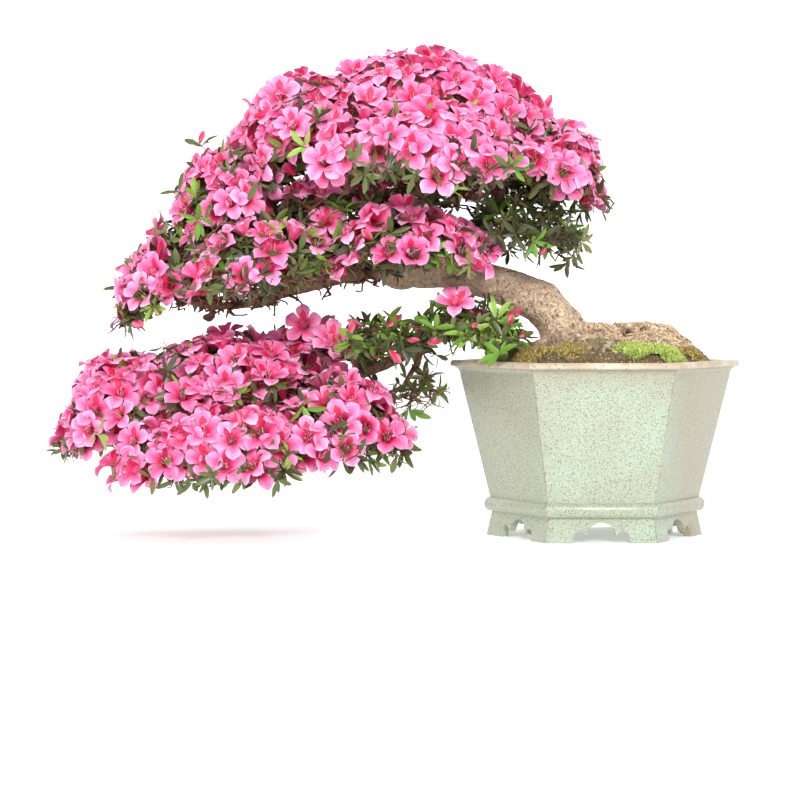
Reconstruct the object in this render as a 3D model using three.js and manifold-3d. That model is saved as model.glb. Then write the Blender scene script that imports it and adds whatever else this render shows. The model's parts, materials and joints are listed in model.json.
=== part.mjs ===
// A semi-cascade azalea bonsai in a footed hexagonal pot, as a three.js scene in millimetres, +Z up.
// The trunk leans out over the pot's left rim to a burl, where it forks. Its boughs carry a domed crown,
// a left shelf and a cascade that hangs lower than the rim. Each mass of leaves and flowers is a thin,
// domed, uneven pad. The exported group's origin is on the ground, at the middle of the whole plant.
import * as THREE from "three";
import { mergeVertices } from "three/addons/utils/BufferGeometryUtils.js";
import Module from "manifold-3d";

const wasm = await Module();
wasm.setup();

const GAP = 0.4; // free space between two pieces that meet
const DEG = Math.PI / 180;

// ---- Driving dimensions. Places are measured from the middle of the pot's foot ring. ----
const POT = {
  sides: 6,
  height: 210,
  footRadius: 129.6, // to a corner, as all the pot's radii
  skirtTopRadius: 123,
  skirtHeight: 29,
  skirtWall: 10,
  bandRadius: 132.6,
  bandHeight: 17,
  waistRadius: 125.5,
  shoulderRadius: 161.5, // the straight wall ends here and curls out to the lip
  shoulderHeight: 192,
  insideTopRadius: 152,
  lipRadius: 173.5,
  lipHeight: 7,
  wall: 11,
  floorUnder: 33,
  floorTop: 48,
  drainRadius: 13,
};
const CLOUD = { archRadius: 17.5, archCentre: 6, lobeRadius: 7.6, lobeOffset: 25, lobeCentre: 6 };
const SOIL = { edgeBelowRim: 7, plateau: 220, plateauRadius: 128 };

// Limb stations: [x, y, z, radius].
const TRUNK = [
  [-24, 0, 200, 43],
  [-31, 0, 222, 36],
  [-45, 0, 258, 28],
  [-68, 0, 281, 27.5],
  [-88, 0, 290, 26.5],
  [-106, 0, 295, 24.5],
  [-122, 1, 302, 23],
  [-142, 2, 310, 22.5],
  [-183, 3, 317, 22],
  [-219, 2, 318, 24.5],
  [-240, 0, 322, 24],
];
const ROOTS = {
  root_ridge: [
    [-34, 0, 240, 20],
    [-4, -3, 242, 14],
    [28, -5, 245, 12],
    [62, -3, 245, 12],
    [94, 0, 238, 10],
    [116, 2, 220, 8],
  ],
  root_front: [
    [-34, -16, 234, 16],
    [-12, -36, 232, 11],
    [18, -46, 228, 9],
    [52, -52, 218, 7],
  ],
  root_back: [
    [-34, 16, 234, 16],
    [-10, 38, 231, 11],
    [26, 50, 227, 9],
    [64, 52, 217, 7],
  ],
  root_left: [
    [-46, -10, 232, 14],
    [-70, -22, 227, 9],
    [-92, -30, 217, 6],
  ],
};
const ROOT_CLUMP = { at: [62, -2, 216], half: [60, 52], rise: 30, thick: 20, seed: 5 };

const BOUGHS = {
  bough_leader: [
    [-232, 4, 330, 17],
    [-236, 12, 362, 14],
    [-222, 14, 398, 12],
    [-208, 8, 440, 10],
    [-203, 2, 500, 7],
    [-203, 0, 560, 4],
  ],
  bough_crown_right: [
    [-222, 13, 398, 10],
    [-175, 6, 418, 8.5],
    [-120, 0, 440, 7],
    [-70, -2, 452, 6],
    [-20, 0, 450, 4],
  ],
  bough_crown_left: [
    [-232, 12, 376, 10],
    [-275, 6, 404, 8.5],
    [-320, 0, 432, 7],
    [-368, 0, 470, 5],
  ],
  bough_crown_front: [
    [-218, 12, 408, 9],
    [-212, -30, 432, 7.5],
    [-205, -80, 456, 6],
    [-200, -120, 480, 4.5],
  ],
  bough_crown_back: [
    [-214, 12, 418, 9],
    [-208, 52, 440, 7.5],
    [-204, 96, 460, 6],
    [-200, 130, 484, 4.5],
  ],
  bough_middle: [
    [-214, -8, 330, 10],
    [-212, -34, 343, 8],
    [-214, -62, 356, 6.5],
    [-222, -84, 380, 4.5],
  ],
  bough_middle_right: [
    [-150, 4, 318, 10],
    [-132, 2, 342, 8],
    [-108, -2, 362, 6.5],
    [-84, -6, 392, 4.5],
  ],
  bough_left: [
    [-246, 2, 322, 13],
    [-290, 0, 315, 11.5],
    [-330, -3, 304, 10],
    [-372, -3, 292, 8],
    [-412, 0, 279, 6],
    [-460, 0, 274, 5],
    [-520, 0, 290, 3.5],
  ],
  bough_left_upper: [
    [-296, 2, 318, 9],
    [-330, 6, 342, 8],
    [-372, 8, 370, 6.5],
    [-420, 6, 410, 5],
  ],
  bough_left_front: [
    [-318, -4, 306, 8],
    [-346, -30, 316, 7],
    [-374, -58, 330, 5.5],
    [-392, -74, 360, 4],
  ],
  bough_left_back: [
    [-312, 4, 310, 8],
    [-344, 36, 318, 7],
    [-380, 68, 330, 5.5],
    [-410, 86, 356, 4],
  ],
  bough_cascade: [
    [-150, 6, 300, 12],
    [-164, 22, 270, 10.5],
    [-196, 20, 236, 9],
    [-232, 12, 215, 8.2],
    [-262, 6, 201, 7.6],
    [-310, 4, 184, 7],
    [-372, 2, 172, 6],
    [-440, 0, 168, 5],
    [-520, 0, 150, 4],
    [-570, 0, 150, 3],
  ],
  bough_cascade_front: [
    [-276, 4, 196, 7],
    [-300, -28, 178, 6],
    [-330, -58, 160, 5],
    [-350, -84, 160, 4],
  ],
  bough_cascade_back: [
    [-318, 4, 184, 7],
    [-352, 34, 176, 6],
    [-392, 64, 172, 5],
    [-424, 82, 180, 4],
  ],
  bough_rim: [
    [-172, 18, 262, 7],
    [-176, -6, 252, 6],
    [-170, -30, 250, 5],
    [-160, -40, 262, 4],
  ],
  bough_rim_under: [
    [-208, 18, 230, 6.5],
    [-212, 12, 212, 5.5],
    [-216, 4, 192, 4.5],
    [-218, 0, 176, 3.5],
  ],
};

// Foliage pads: middle of the pad's rim plane, half width and depth, rise of the dome above that plane,
// thickness, lean about Y (positive dips the right side), pitch about X (positive dips the front side).
const PADS = {
  crown_top: { at: [-214, 0, 508], half: [168, 122], rise: 76, thick: 40, lean: 1, pitch: 0, seed: 1 },
  crown_right: { at: [-56, 0, 440], half: [80, 98], rise: 66, thick: 36, lean: 22, pitch: 0, seed: 2 },
  crown_left: { at: [-355, 0, 479], half: [104, 110], rise: 74, thick: 38, lean: -36, pitch: 0, seed: 3 },
  crown_front: { at: [-206, -122, 460], half: [138, 68], rise: 52, thick: 30, lean: 2, pitch: 30, seed: 4 },
  crown_back: { at: [-204, 124, 454], half: [142, 68], rise: 56, thick: 34, lean: 2, pitch: -34, seed: 5 },
  middle_front: { at: [-222, -80, 350], half: [106, 60], rise: 52, thick: 32, lean: 4, pitch: 20, seed: 6 },
  middle_left: { at: [-332, -24, 388], half: [86, 80], rise: 46, thick: 32, lean: -16, pitch: 6, seed: 20 },
  middle_right: { at: [-84, -14, 368], half: [74, 82], rise: 46, thick: 34, lean: 6, pitch: 4, seed: 7 },
  left_upper: { at: [-432, 2, 402], half: [106, 102], rise: 72, thick: 36, lean: -42, pitch: 0, seed: 8 },
  left_front: { at: [-394, -84, 324], half: [104, 60], rise: 58, thick: 32, lean: -10, pitch: 24, seed: 9 },
  left_back: { at: [-408, 88, 326], half: [110, 58], rise: 60, thick: 32, lean: -18, pitch: -24, seed: 10 },
  left_tip: { at: [-498, -2, 313], half: [100, 92], rise: 62, thick: 34, lean: -34, pitch: 4, seed: 11 },
  cascade_tip: { at: [-567, -2, 158], half: [96, 90], rise: 66, thick: 36, lean: -34, pitch: 4, seed: 12 },
  cascade_top: { at: [-446, 0, 190], half: [126, 98], rise: 60, thick: 38, lean: -8, pitch: 4, seed: 13 },
  cascade_front: { at: [-440, -106, 114], half: [140, 60], rise: 54, thick: 34, lean: -4, pitch: 34, seed: 14 },
  cascade_back: { at: [-430, 104, 138], half: [126, 54], rise: 52, thick: 32, lean: -6, pitch: -34, seed: 15 },
  cascade_right: { at: [-306, -54, 136], half: [92, 78], rise: 64, thick: 36, lean: 10, pitch: 20, seed: 16 },
  cascade_ridge: { at: [-332, 36, 222], half: [76, 56], rise: 38, thick: 26, lean: 4, pitch: -6, seed: 17 },
  rim_left: { at: [-258, -22, 234], half: [66, 52], rise: 28, thick: 24, lean: 4, pitch: 8, seed: 18 },
  rim_right: { at: [-147, -56, 253], half: [68, 56], rise: 35, thick: 26, lean: 10, pitch: 15, seed: 19 },
  rim_under: { at: [-217, -6, 177], half: [44, 46], rise: 25, thick: 26, lean: -6, pitch: 0, seed: 21 },
};
const PAD_SEGMENTS = 12;
const LIMB_STEP = 30; // spacing of the rings along a limb
const TRUNK_SIDES = 10;
const LIMB_SIDES = 7;
const LUMP = 5.5; // how far a pad's surface wanders from the smooth dome

// ---- Colours ----
const BARK = { color: 0x9a7a5c, roughness: 0.85 };
const DARK_BARK = { color: 0x5b4334, roughness: 0.9 };
const ROOT_BARK = { color: 0xb0946c, roughness: 0.9 };
const GLAZE = { color: 0xc3d3bb, roughness: 0.35 };
const EARTH = { color: 0x5f5436, roughness: 1 };
const BLOOM = { color: 0xf06fa0, roughness: 0.6 };
const LEAF = { color: 0x4f7436, roughness: 0.5 };
const GREEN_PADS = new Set(["middle_right", "rim_left", "rim_right", "rim_under"]);

// ---- Helpers ----
const paint = (look) => new THREE.MeshStandardMaterial({ ...look, metalness: 0 });

// A closed geometry as a manifold-3d solid.
function solidOf(geometry) {
  const bare = geometry.clone();
  for (const name of Object.keys(bare.attributes)) {
    if (name !== "position") bare.deleteAttribute(name);
  }
  const merged = mergeVertices(bare, 1e-3);
  return new wasm.Manifold(
    new wasm.Mesh({
      numProp: 3,
      vertProperties: merged.attributes.position.array,
      triVerts: new Uint32Array(merged.index.array),
    }),
  );
}

// A manifold-3d solid as a flat-shaded geometry.
function geometryOf(solid) {
  const mesh = solid.getMesh();
  const position = new Float32Array(mesh.numVert * 3);
  for (let i = 0; i < mesh.numVert; i++) {
    const from = i * mesh.numProp;
    position.set(mesh.vertProperties.subarray(from, from + 3), i * 3);
  }
  return new THREE.BufferGeometry()
    .setAttribute("position", new THREE.BufferAttribute(position, 3))
    .setIndex(new THREE.BufferAttribute(mesh.triVerts, 1));
}

// The largest body of a solid that a cut has left in pieces.
const largestBody = (solid) =>
  solid.decompose().reduce((best, body) => (body.volume() > best.volume() ? body : best));

// The geometry with its surface pushed out by a distance.
function grown(geometry, distance) {
  const bare = geometry.clone();
  for (const name of Object.keys(bare.attributes)) {
    if (name !== "position") bare.deleteAttribute(name);
  }
  const merged = mergeVertices(bare, 1e-3);
  merged.computeVertexNormals();
  const place = merged.attributes.position;
  const normal = merged.attributes.normal;
  for (let i = 0; i < place.count; i++) {
    place.setXYZ(
      i,
      place.getX(i) + normal.getX(i) * distance,
      place.getY(i) + normal.getY(i) * distance,
      place.getZ(i) + normal.getZ(i) * distance,
    );
  }
  return merged;
}

// A lathe about +Z. The profile is a list of [radius, z] that starts and ends on the axis.
// With 6 segments and a start angle of 90 degrees, its corners lie on +X and -X.
function turned(profile, segments) {
  const points = profile.map(([r, z]) => new THREE.Vector2(r, z));
  return new THREE.LatheGeometry(points, segments, Math.PI / 2).rotateX(Math.PI / 2);
}

// One tapering limb with rounded ends, swept along the smooth curve through its stations.
function limb(stations, sides) {
  const curve = new THREE.CatmullRomCurve3(stations.map(([x, y, z]) => new THREE.Vector3(x, y, z)));
  const spans = stations.length - 1;
  const steps = Math.max(4, Math.round(curve.getLength() / LIMB_STEP));
  const frames = curve.computeFrenetFrames(steps);
  const position = [];
  const index = [];
  for (let i = 0; i <= steps; i++) {
    const u = i / steps;
    const t = curve.getUtoTmapping(u);
    const at = Math.min(Math.floor(t * spans), spans - 1);
    const radius = THREE.MathUtils.lerp(stations[at][3], stations[at + 1][3], t * spans - at);
    const centre = curve.getPoint(t);
    for (let k = 0; k < sides; k++) {
      const angle = (k / sides) * 2 * Math.PI;
      const p = centre
        .clone()
        .addScaledVector(frames.normals[i], Math.cos(angle) * radius)
        .addScaledVector(frames.binormals[i], Math.sin(angle) * radius);
      position.push(p.x, p.y, p.z);
    }
  }
  for (let i = 0; i < steps; i++) {
    for (let k = 0; k < sides; k++) {
      const a = i * sides + k;
      const b = i * sides + ((k + 1) % sides);
      index.push(a, b, a + sides, b, b + sides, a + sides);
    }
  }
  // Each end is closed by a fan to a point a little way beyond its last ring.
  for (const [ring, outward] of [
    [0, -0.3],
    [steps, 0.3],
  ]) {
    const radius = ring === 0 ? stations[0][3] : stations[spans][3];
    const tangent = curve.getTangentAt(ring / steps);
    const tip = curve.getPointAt(ring / steps).addScaledVector(tangent, outward * radius);
    const apex = position.length / 3;
    position.push(tip.x, tip.y, tip.z);
    for (let k = 0; k < sides; k++) {
      const a = ring * sides + k;
      const b = ring * sides + ((k + 1) % sides);
      if (ring === 0) index.push(b, a, apex);
      else index.push(a, b, apex);
    }
  }
  return new THREE.BufferGeometry()
    .setAttribute("position", new THREE.Float32BufferAttribute(position, 3))
    .setIndex(index);
}

// How far a pad's surface wanders at a point: three crossing waves, shifted by the pad's seed.
function lumps(x, y, z, seed) {
  const shift = seed * 2.4;
  const a = Math.sin(x / 17 + shift) * Math.cos(y / 19 - shift);
  const b = Math.sin(y / 11 + z / 13 + 1.7 * shift);
  const c = Math.cos(x / 9 - z / 15 + 0.6 * shift);
  return 0.5 * a + 0.3 * b + 0.25 * c;
}

// One mass of foliage: a thin dome with a hollow underside and a rounded, uneven rim.
function pad({ at, half, rise, thick, lean = 0, pitch = 0, seed }) {
  const hollow = 0.8; // how far the underside follows the dome
  const dome = (rho) => rise * (1 - rho * rho);
  const profile = [
    [0, dome(0) * hollow - thick],
    [0.42, dome(0.42) * hollow - thick],
    [0.76, dome(0.76) * hollow - thick * 0.9],
    [0.95, -thick * 0.55],
    [1.0, -thick * 0.12],
    [0.93, dome(0.93)],
    [0.72, dome(0.72)],
    [0.4, dome(0.4)],
    [0, dome(0)],
  ];
  const geometry = turned(profile, PAD_SEGMENTS);
  const place = geometry.attributes.position;
  const p = new THREE.Vector3();
  for (let i = 0; i < place.count; i++) {
    p.fromBufferAttribute(place, i);
    p.x *= half[0];
    p.y *= half[1];
    const outward = p.clone().normalize();
    p.addScaledVector(outward, LUMP * lumps(p.x, p.y, p.z, seed));
    place.setXYZ(i, p.x, p.y, p.z);
  }
  return geometry
    .rotateX(pitch * DEG)
    .rotateY(lean * DEG)
    .translate(...at);
}

// ---- The pot ----
function potGeometry() {
  const skirtInner = POT.footRadius - POT.skirtWall / Math.cos(30 * DEG);
  const wallAcross = POT.wall / Math.cos(30 * DEG);
  const bandMiddle = POT.skirtHeight + POT.bandHeight / 2;
  const bandTop = POT.skirtHeight + POT.bandHeight;
  const lipFoot = POT.height - POT.lipHeight;
  const band = [];
  for (let i = 1; i <= 4; i++) {
    const turn = (-90 + i * 36) * DEG;
    const bulge = POT.bandRadius - POT.waistRadius + 1;
    band.push([
      POT.waistRadius - 1 + bulge * Math.cos(turn),
      bandMiddle + (POT.bandHeight / 2) * Math.sin(turn),
    ]);
  }
  // Above its shoulder the wall curls out in a quarter round to the lip's foot.
  const coveAcross = POT.lipRadius - 1.5 - POT.shoulderRadius;
  const coveUp = lipFoot - POT.shoulderHeight;
  const cove = [];
  for (let i = 1; i <= 3; i++) {
    const turn = i * 30 * DEG;
    cove.push([
      POT.shoulderRadius + coveAcross * (1 - Math.cos(turn)),
      POT.shoulderHeight + coveUp * Math.sin(turn),
    ]);
  }
  const profile = [
    [0, POT.floorUnder],
    [skirtInner - 8, POT.floorUnder],
    [skirtInner - 5, POT.floorUnder - 4],
    [skirtInner, 0],
    [POT.footRadius, 0],
    [POT.skirtTopRadius, POT.skirtHeight],
    ...band,
    [POT.waistRadius, bandTop],
    [POT.shoulderRadius, POT.shoulderHeight],
    ...cove,
    [POT.lipRadius, lipFoot + 2],
    [POT.lipRadius, POT.height - 2],
    [POT.lipRadius - 2, POT.height],
    [POT.insideTopRadius + 4, POT.height],
    [POT.insideTopRadius, POT.height - 4],
    [POT.waistRadius - wallAcross, POT.floorTop + 6],
    [POT.waistRadius - wallAcross - 6, POT.floorTop],
    [0, POT.floorTop],
  ];
  let solid = solidOf(turned(profile, POT.sides));
  const faceDistance = POT.footRadius * Math.cos(30 * DEG);
  const across = (geometry, x, z) => geometry.translate(x, -faceDistance, z);
  const drum = (radius) => new THREE.CylinderGeometry(radius, radius, 40, 12);
  for (let face = 0; face < POT.sides; face++) {
    const cutters = [
      across(drum(CLOUD.archRadius), 0, CLOUD.archCentre),
      across(drum(CLOUD.lobeRadius), CLOUD.lobeOffset, CLOUD.lobeCentre),
      across(drum(CLOUD.lobeRadius), -CLOUD.lobeOffset, CLOUD.lobeCentre),
      across(
        new THREE.BoxGeometry(2 * (CLOUD.lobeOffset + CLOUD.lobeRadius), 40, 2 * CLOUD.lobeCentre),
        0,
        0,
      ),
    ];
    for (const cutter of cutters) {
      solid = solid.subtract(solidOf(cutter.rotateZ(face * 60 * DEG)));
    }
  }
  const drain = new THREE.CylinderGeometry(POT.drainRadius, POT.drainRadius, 60, 24)
    .rotateX(Math.PI / 2)
    .translate(0, 0, POT.floorTop);
  return geometryOf(solid.subtract(solidOf(drain)));
}

// ---- The soil: it fills the pot and rises to a plateau that carries the trunk and roots ----
function soilGeometry() {
  const wallAcross = POT.wall / Math.cos(30 * DEG) + GAP * 1.5;
  const edge = POT.height - SOIL.edgeBelowRim;
  const share = (edge - POT.floorTop - 6) / (POT.height - 4 - POT.floorTop - 6);
  const floorRadius = POT.waistRadius - POT.wall / Math.cos(30 * DEG);
  const edgeRadius = THREE.MathUtils.lerp(floorRadius, POT.insideTopRadius, share) - GAP * 1.5;
  const profile = [
    [0, POT.floorTop + GAP],
    [POT.waistRadius - wallAcross - 6, POT.floorTop + GAP],
    [POT.waistRadius - wallAcross, POT.floorTop + 6 + GAP],
    [edgeRadius, edge],
    [(edgeRadius + SOIL.plateauRadius) / 2 + 4, (edge + SOIL.plateau) / 2 + 2],
    [SOIL.plateauRadius, SOIL.plateau],
    [0, SOIL.plateau],
  ];
  return turned(profile, POT.sides);
}

// ---- Assembly ----
const plant = new THREE.Group();
const body = new THREE.Group();
plant.add(body);

function place(name, geometry, look) {
  const mesh = new THREE.Mesh(geometry, paint(look));
  mesh.name = name;
  body.add(mesh);
}

const HUGE = 2000;
const underground = solidOf(
  new THREE.BoxGeometry(HUGE, HUGE, HUGE).translate(0, 0, SOIL.plateau + GAP - HUGE / 2),
);
const aboveGround = (solid) => solid.subtract(underground);

place("pot", potGeometry(), GLAZE);
place("soil", soilGeometry(), EARTH);

const trunkShape = limb(TRUNK, TRUNK_SIDES);
place("trunk", geometryOf(aboveGround(solidOf(trunkShape))), BARK);
const taken = [solidOf(grown(trunkShape, GAP))];

const cutByTaken = (solid) => taken.reduce((rest, other) => rest.subtract(other), solid);

const clumpShape = pad(ROOT_CLUMP);
for (const [name, stations] of Object.entries(ROOTS)) {
  const shape = limb(stations, LIMB_SIDES);
  place(name, geometryOf(largestBody(cutByTaken(aboveGround(solidOf(shape))))), ROOT_BARK);
  taken.push(solidOf(grown(shape, GAP)));
}
place("root_clump", geometryOf(largestBody(cutByTaken(aboveGround(solidOf(clumpShape))))), ROOT_BARK);

// The pads come before the boughs, because a bough ends where it enters a pad.
const padSolids = [];
for (const [name, spec] of Object.entries(PADS)) {
  const shape = pad(spec);
  const free = padSolids.reduce((rest, other) => rest.subtract(other), cutByTaken(solidOf(shape)));
  place(name, geometryOf(largestBody(free)), GREEN_PADS.has(name) ? LEAF : BLOOM);
  padSolids.push(solidOf(grown(shape, GAP)));
}
for (const [name, stations] of Object.entries(BOUGHS)) {
  const shape = limb(stations, LIMB_SIDES);
  const free = padSolids.reduce((rest, other) => rest.subtract(other), cutByTaken(solidOf(shape)));
  place(name, geometryOf(largestBody(free)), DARK_BARK);
  taken.push(solidOf(grown(shape, GAP)));
}

// The origin moves from the middle of the foot ring to the middle of the plant's box on the ground.
const box = new THREE.Box3().setFromObject(plant);
body.position.set(-(box.min.x + box.max.x) / 2, -(box.min.y + box.max.y) / 2, 0);

export default plant;
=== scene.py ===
# %% [markdown]
# # A potted azalea bonsai in full flower
#
# The real object is an azalea trained over many years into a semi-cascade: the trunk leans out over the
# rim of a footed hexagonal pot, and thin domed pads of twigs carry small glossy leaves and large pink
# flowers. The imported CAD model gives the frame: where the pot, the trunk, each bough and each mass of
# foliage is. This lesson dresses that frame. Pot and wood are modelled with Blender's own operators, and
# the twigs, leaves and flowers grow from the boughs by a seeded rule and fill each mass.

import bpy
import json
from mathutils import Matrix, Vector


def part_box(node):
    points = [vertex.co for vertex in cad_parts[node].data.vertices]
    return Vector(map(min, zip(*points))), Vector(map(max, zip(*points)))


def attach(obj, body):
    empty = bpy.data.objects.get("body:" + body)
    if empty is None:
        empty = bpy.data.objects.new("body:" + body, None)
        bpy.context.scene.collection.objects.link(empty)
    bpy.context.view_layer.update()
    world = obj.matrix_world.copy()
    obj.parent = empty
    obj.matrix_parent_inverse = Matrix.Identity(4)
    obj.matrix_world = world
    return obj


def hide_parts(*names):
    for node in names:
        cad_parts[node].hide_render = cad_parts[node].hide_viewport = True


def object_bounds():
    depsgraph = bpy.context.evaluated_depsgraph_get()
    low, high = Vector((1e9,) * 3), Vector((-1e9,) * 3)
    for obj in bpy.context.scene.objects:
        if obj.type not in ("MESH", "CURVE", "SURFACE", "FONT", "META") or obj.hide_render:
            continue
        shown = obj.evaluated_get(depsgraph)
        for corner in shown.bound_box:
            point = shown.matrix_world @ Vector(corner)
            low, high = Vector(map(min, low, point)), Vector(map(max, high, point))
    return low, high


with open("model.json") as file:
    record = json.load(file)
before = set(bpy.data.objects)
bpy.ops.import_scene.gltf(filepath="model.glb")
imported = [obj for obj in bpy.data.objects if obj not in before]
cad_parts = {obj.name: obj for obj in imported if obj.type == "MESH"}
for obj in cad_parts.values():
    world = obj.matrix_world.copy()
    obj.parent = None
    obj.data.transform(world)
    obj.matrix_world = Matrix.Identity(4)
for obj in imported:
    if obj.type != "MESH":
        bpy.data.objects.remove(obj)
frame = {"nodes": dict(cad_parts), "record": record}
cad_low, cad_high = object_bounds()
print("CAD box in metres:", tuple(cad_low), tuple(cad_high))

# %% The other modules
import json
import math

import bpy
import numpy as np
from mathutils import Matrix, Vector, noise
from mathutils.bvhtree import BVHTree

MM = 0.001
random = np.random.default_rng(20)

# %% [markdown]
# ## Names from the record
#
# The record says which material slot each node belongs to. The masses of foliage are the nodes in the
# two leafy slots, and everything that grows later is told apart by that list and not by hand.

# %% Sort the nodes by what they are
slot_of = {part["node"]: part["material_slot"] for part in frame["record"]["subparts"]}
masses = [node for node, slot in slot_of.items() if slot in ("blossom", "foliage")]
boughs = [node for node, slot in slot_of.items() if slot == "bough_bark"]
roots = [node for node, slot in slot_of.items() if slot == "root_bark"]
pot_low, pot_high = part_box("pot")
pot_centre = (pot_low + pot_high) / 2
soil_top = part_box("soil")[1].z
print(len(masses), "masses,", len(boughs), "boughs,", len(roots), "roots")

# %% [markdown]
# ## Camera
#
# The plant is seen from the front, from a little above the middle of the pot, through a long lens that
# keeps the pot's sides nearly parallel. A long lens also keeps the flowers at the edge of the crown the
# same size as those at its middle.

# %% Set up the camera
CAMERA_DISTANCE = 3.12
CAMERA_HEIGHT = 0.29
CAMERA_LEFT_OF_POT = 0.234
CAMERA_DIP = math.radians(2.35)
LENS = 117.0

bpy.ops.object.select_all(action="DESELECT")
bpy.ops.object.camera_add(
    location=(pot_centre.x - CAMERA_LEFT_OF_POT, pot_centre.y - CAMERA_DISTANCE, CAMERA_HEIGHT),
    rotation=(math.pi / 2 - CAMERA_DIP, 0, 0),
)
camera = bpy.context.object
camera.data.lens = LENS
camera.data.sensor_width = 36.0
camera.data.clip_end = 50.0
bpy.context.scene.camera = camera

# %% [markdown]
# ## Studio
#
# A plain pale floor and backdrop, a pale surrounding and three soft area lights: a key in front on the
# right, a weaker fill on the left and one behind that rims the crown. Soft light suits petals, which are
# thin and lose their form under a hard lamp. The floor is so wide that its far edge stays out of view
# from the sides as well.

# %% Floor, backdrop and surroundings
FLOOR_SIZE = 120
BACKDROP_SIZE = 30
BACKDROP_PLACE = (0, 9, 0)
SURROUNDINGS = 0.68

bpy.ops.mesh.primitive_plane_add(size=FLOOR_SIZE, location=(0, 0, 0))
floor = bpy.context.object
floor.name = "studio_floor"
bpy.ops.mesh.primitive_plane_add(
    size=BACKDROP_SIZE, location=BACKDROP_PLACE, rotation=(math.pi / 2, 0, 0)
)
backdrop = bpy.context.object
backdrop.name = "studio_backdrop"

world = bpy.data.worlds.new("pale_studio")
world.use_nodes = True
background = world.node_tree.nodes["Background"]
background.inputs["Color"].default_value = (1.0, 1.0, 1.0, 1)
background.inputs["Strength"].default_value = SURROUNDINGS
bpy.context.scene.world = world
bpy.context.scene.view_settings.view_transform = "Standard"

# %% Soft lights
def soft_light(name, place, size, watts, aim):
    bpy.ops.object.light_add(type="AREA", location=place)
    light = bpy.context.object
    light.name = name
    light.data.shape = "DISK"
    light.data.size = size
    light.data.energy = watts
    light.rotation_euler = (Vector(aim) - Vector(place)).to_track_quat("-Z", "Y").to_euler()


AIM = (0.0, 0.0, 0.3)
soft_light("key_light", (0.5, -2.8, 1.6), 0.8, 58, AIM)
soft_light("fill_light", (-2.0, -2.2, 1.0), 1.4, 20, AIM)
soft_light("rim_light", (0.2, 2.0, 2.4), 1.2, 20, AIM)

# %% [markdown]
# ## Shader helpers
#
# Colours are easiest to name as an artist sees them, and a shader wants them linear, so one helper turns
# one into the other. A second starts a material and gives back its node tree and its Principled shader.

# %% Colour and material helpers
def linear(red, green, blue):
    """A colour named in 0 to 255 as seen, as the linear colour that a shader wants."""
    def channel(value):
        c = value / 255
        return c / 12.92 if c <= 0.04045 else ((c + 0.055) / 1.055) ** 2.4

    return (channel(red), channel(green), channel(blue), 1.0)


def new_material(name, colour, roughness):
    material = bpy.data.materials.new(name)
    material.use_nodes = True
    shader = material.node_tree.nodes["Principled BSDF"]
    shader.inputs["Base Color"].default_value = colour
    shader.inputs["Roughness"].default_value = roughness
    return material, material.node_tree, shader


def finishes_of(name, colours, roughness):
    """One plain material for each colour, numbered in their order."""
    return [new_material(f"{name}_{i}", colour, roughness)[0] for i, colour in enumerate(colours)]


def add_node(tree, kind, **inputs):
    """A node whose named inputs hold a number or colour, or are linked to another node's output."""
    node = tree.nodes.new(kind)
    for name, value in inputs.items():
        feed(tree, value, node.inputs[name.replace("_", " ")])
    return node


def feed(tree, value, socket):
    if isinstance(value, bpy.types.NodeSocket):
        tree.links.new(value, socket)
    else:
        socket.default_value = value


def maths(tree, operation, *values):
    node = tree.nodes.new("ShaderNodeMath")
    node.operation = operation
    for value, socket in zip(values, node.inputs):
        feed(tree, value, socket)
    return node.outputs[0]


def place_of(tree):
    return tree.nodes.new("ShaderNodeTexCoord").outputs["Object"]


# %% [markdown]
# ## Two shared effects
#
# Glaze, bark and soil all drift in tone over a few centimetres, and glaze, clay and bark all carry fine
# spots. Each effect is a node group with its own inputs, built once and placed in each material. A group
# puts out only a mask, so the shader itself stays in the material.

# %% The drifting tone: "mottle"
def build_group(name, inputs, output):
    group = bpy.data.node_groups.new(name, "ShaderNodeTree")
    for title, value in inputs:
        socket = group.interface.new_socket(title, in_out="INPUT", socket_type="NodeSocketFloat")
        socket.default_value = value
    group.interface.new_socket(output, in_out="OUTPUT", socket_type="NodeSocketFloat")
    return group, group.nodes.new("NodeGroupInput"), group.nodes.new("NodeGroupOutput")


mottle, entry, leave = build_group("mottle", [("Scale", 20.0), ("Low", 0.4), ("High", 0.6)], "Mask")
cloud = add_node(
    mottle,
    "ShaderNodeTexNoise",
    Vector=place_of(mottle),
    Scale=entry.outputs["Scale"],
    Detail=5.0,
    Roughness=0.55,
)
remap = add_node(
    mottle,
    "ShaderNodeMapRange",
    Value=cloud.outputs["Fac"],
    From_Min=entry.outputs["Low"],
    From_Max=entry.outputs["High"],
)
remap.interpolation_type = "SMOOTHSTEP"
mottle.links.new(remap.outputs["Result"], leave.inputs["Mask"])

# %% The fine spots: "speckle"
speckle, entry, leave = build_group("speckle", [("Scale", 300.0), ("Size", 0.2), ("Share", 0.5)], "Mask")
cells = add_node(
    speckle, "ShaderNodeTexVoronoi", Vector=place_of(speckle), Scale=entry.outputs["Scale"]
)
cell_number = add_node(speckle, "ShaderNodeSeparateColor", Color=cells.outputs["Color"])
near_middle = maths(speckle, "LESS_THAN", cells.outputs["Distance"], entry.outputs["Size"])
chosen = maths(speckle, "LESS_THAN", cell_number.outputs["Red"], entry.outputs["Share"])
speckle.links.new(maths(speckle, "MULTIPLY", near_middle, chosen), leave.inputs["Mask"])

# %% Place a group, mix by a mask, add relief
def effect(tree, group, **values):
    """The mask that a shared group gives with these values."""
    node = tree.nodes.new("ShaderNodeGroup")
    node.node_tree = group
    for name, value in values.items():
        node.inputs[name].default_value = value
    return node.outputs["Mask"]


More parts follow.
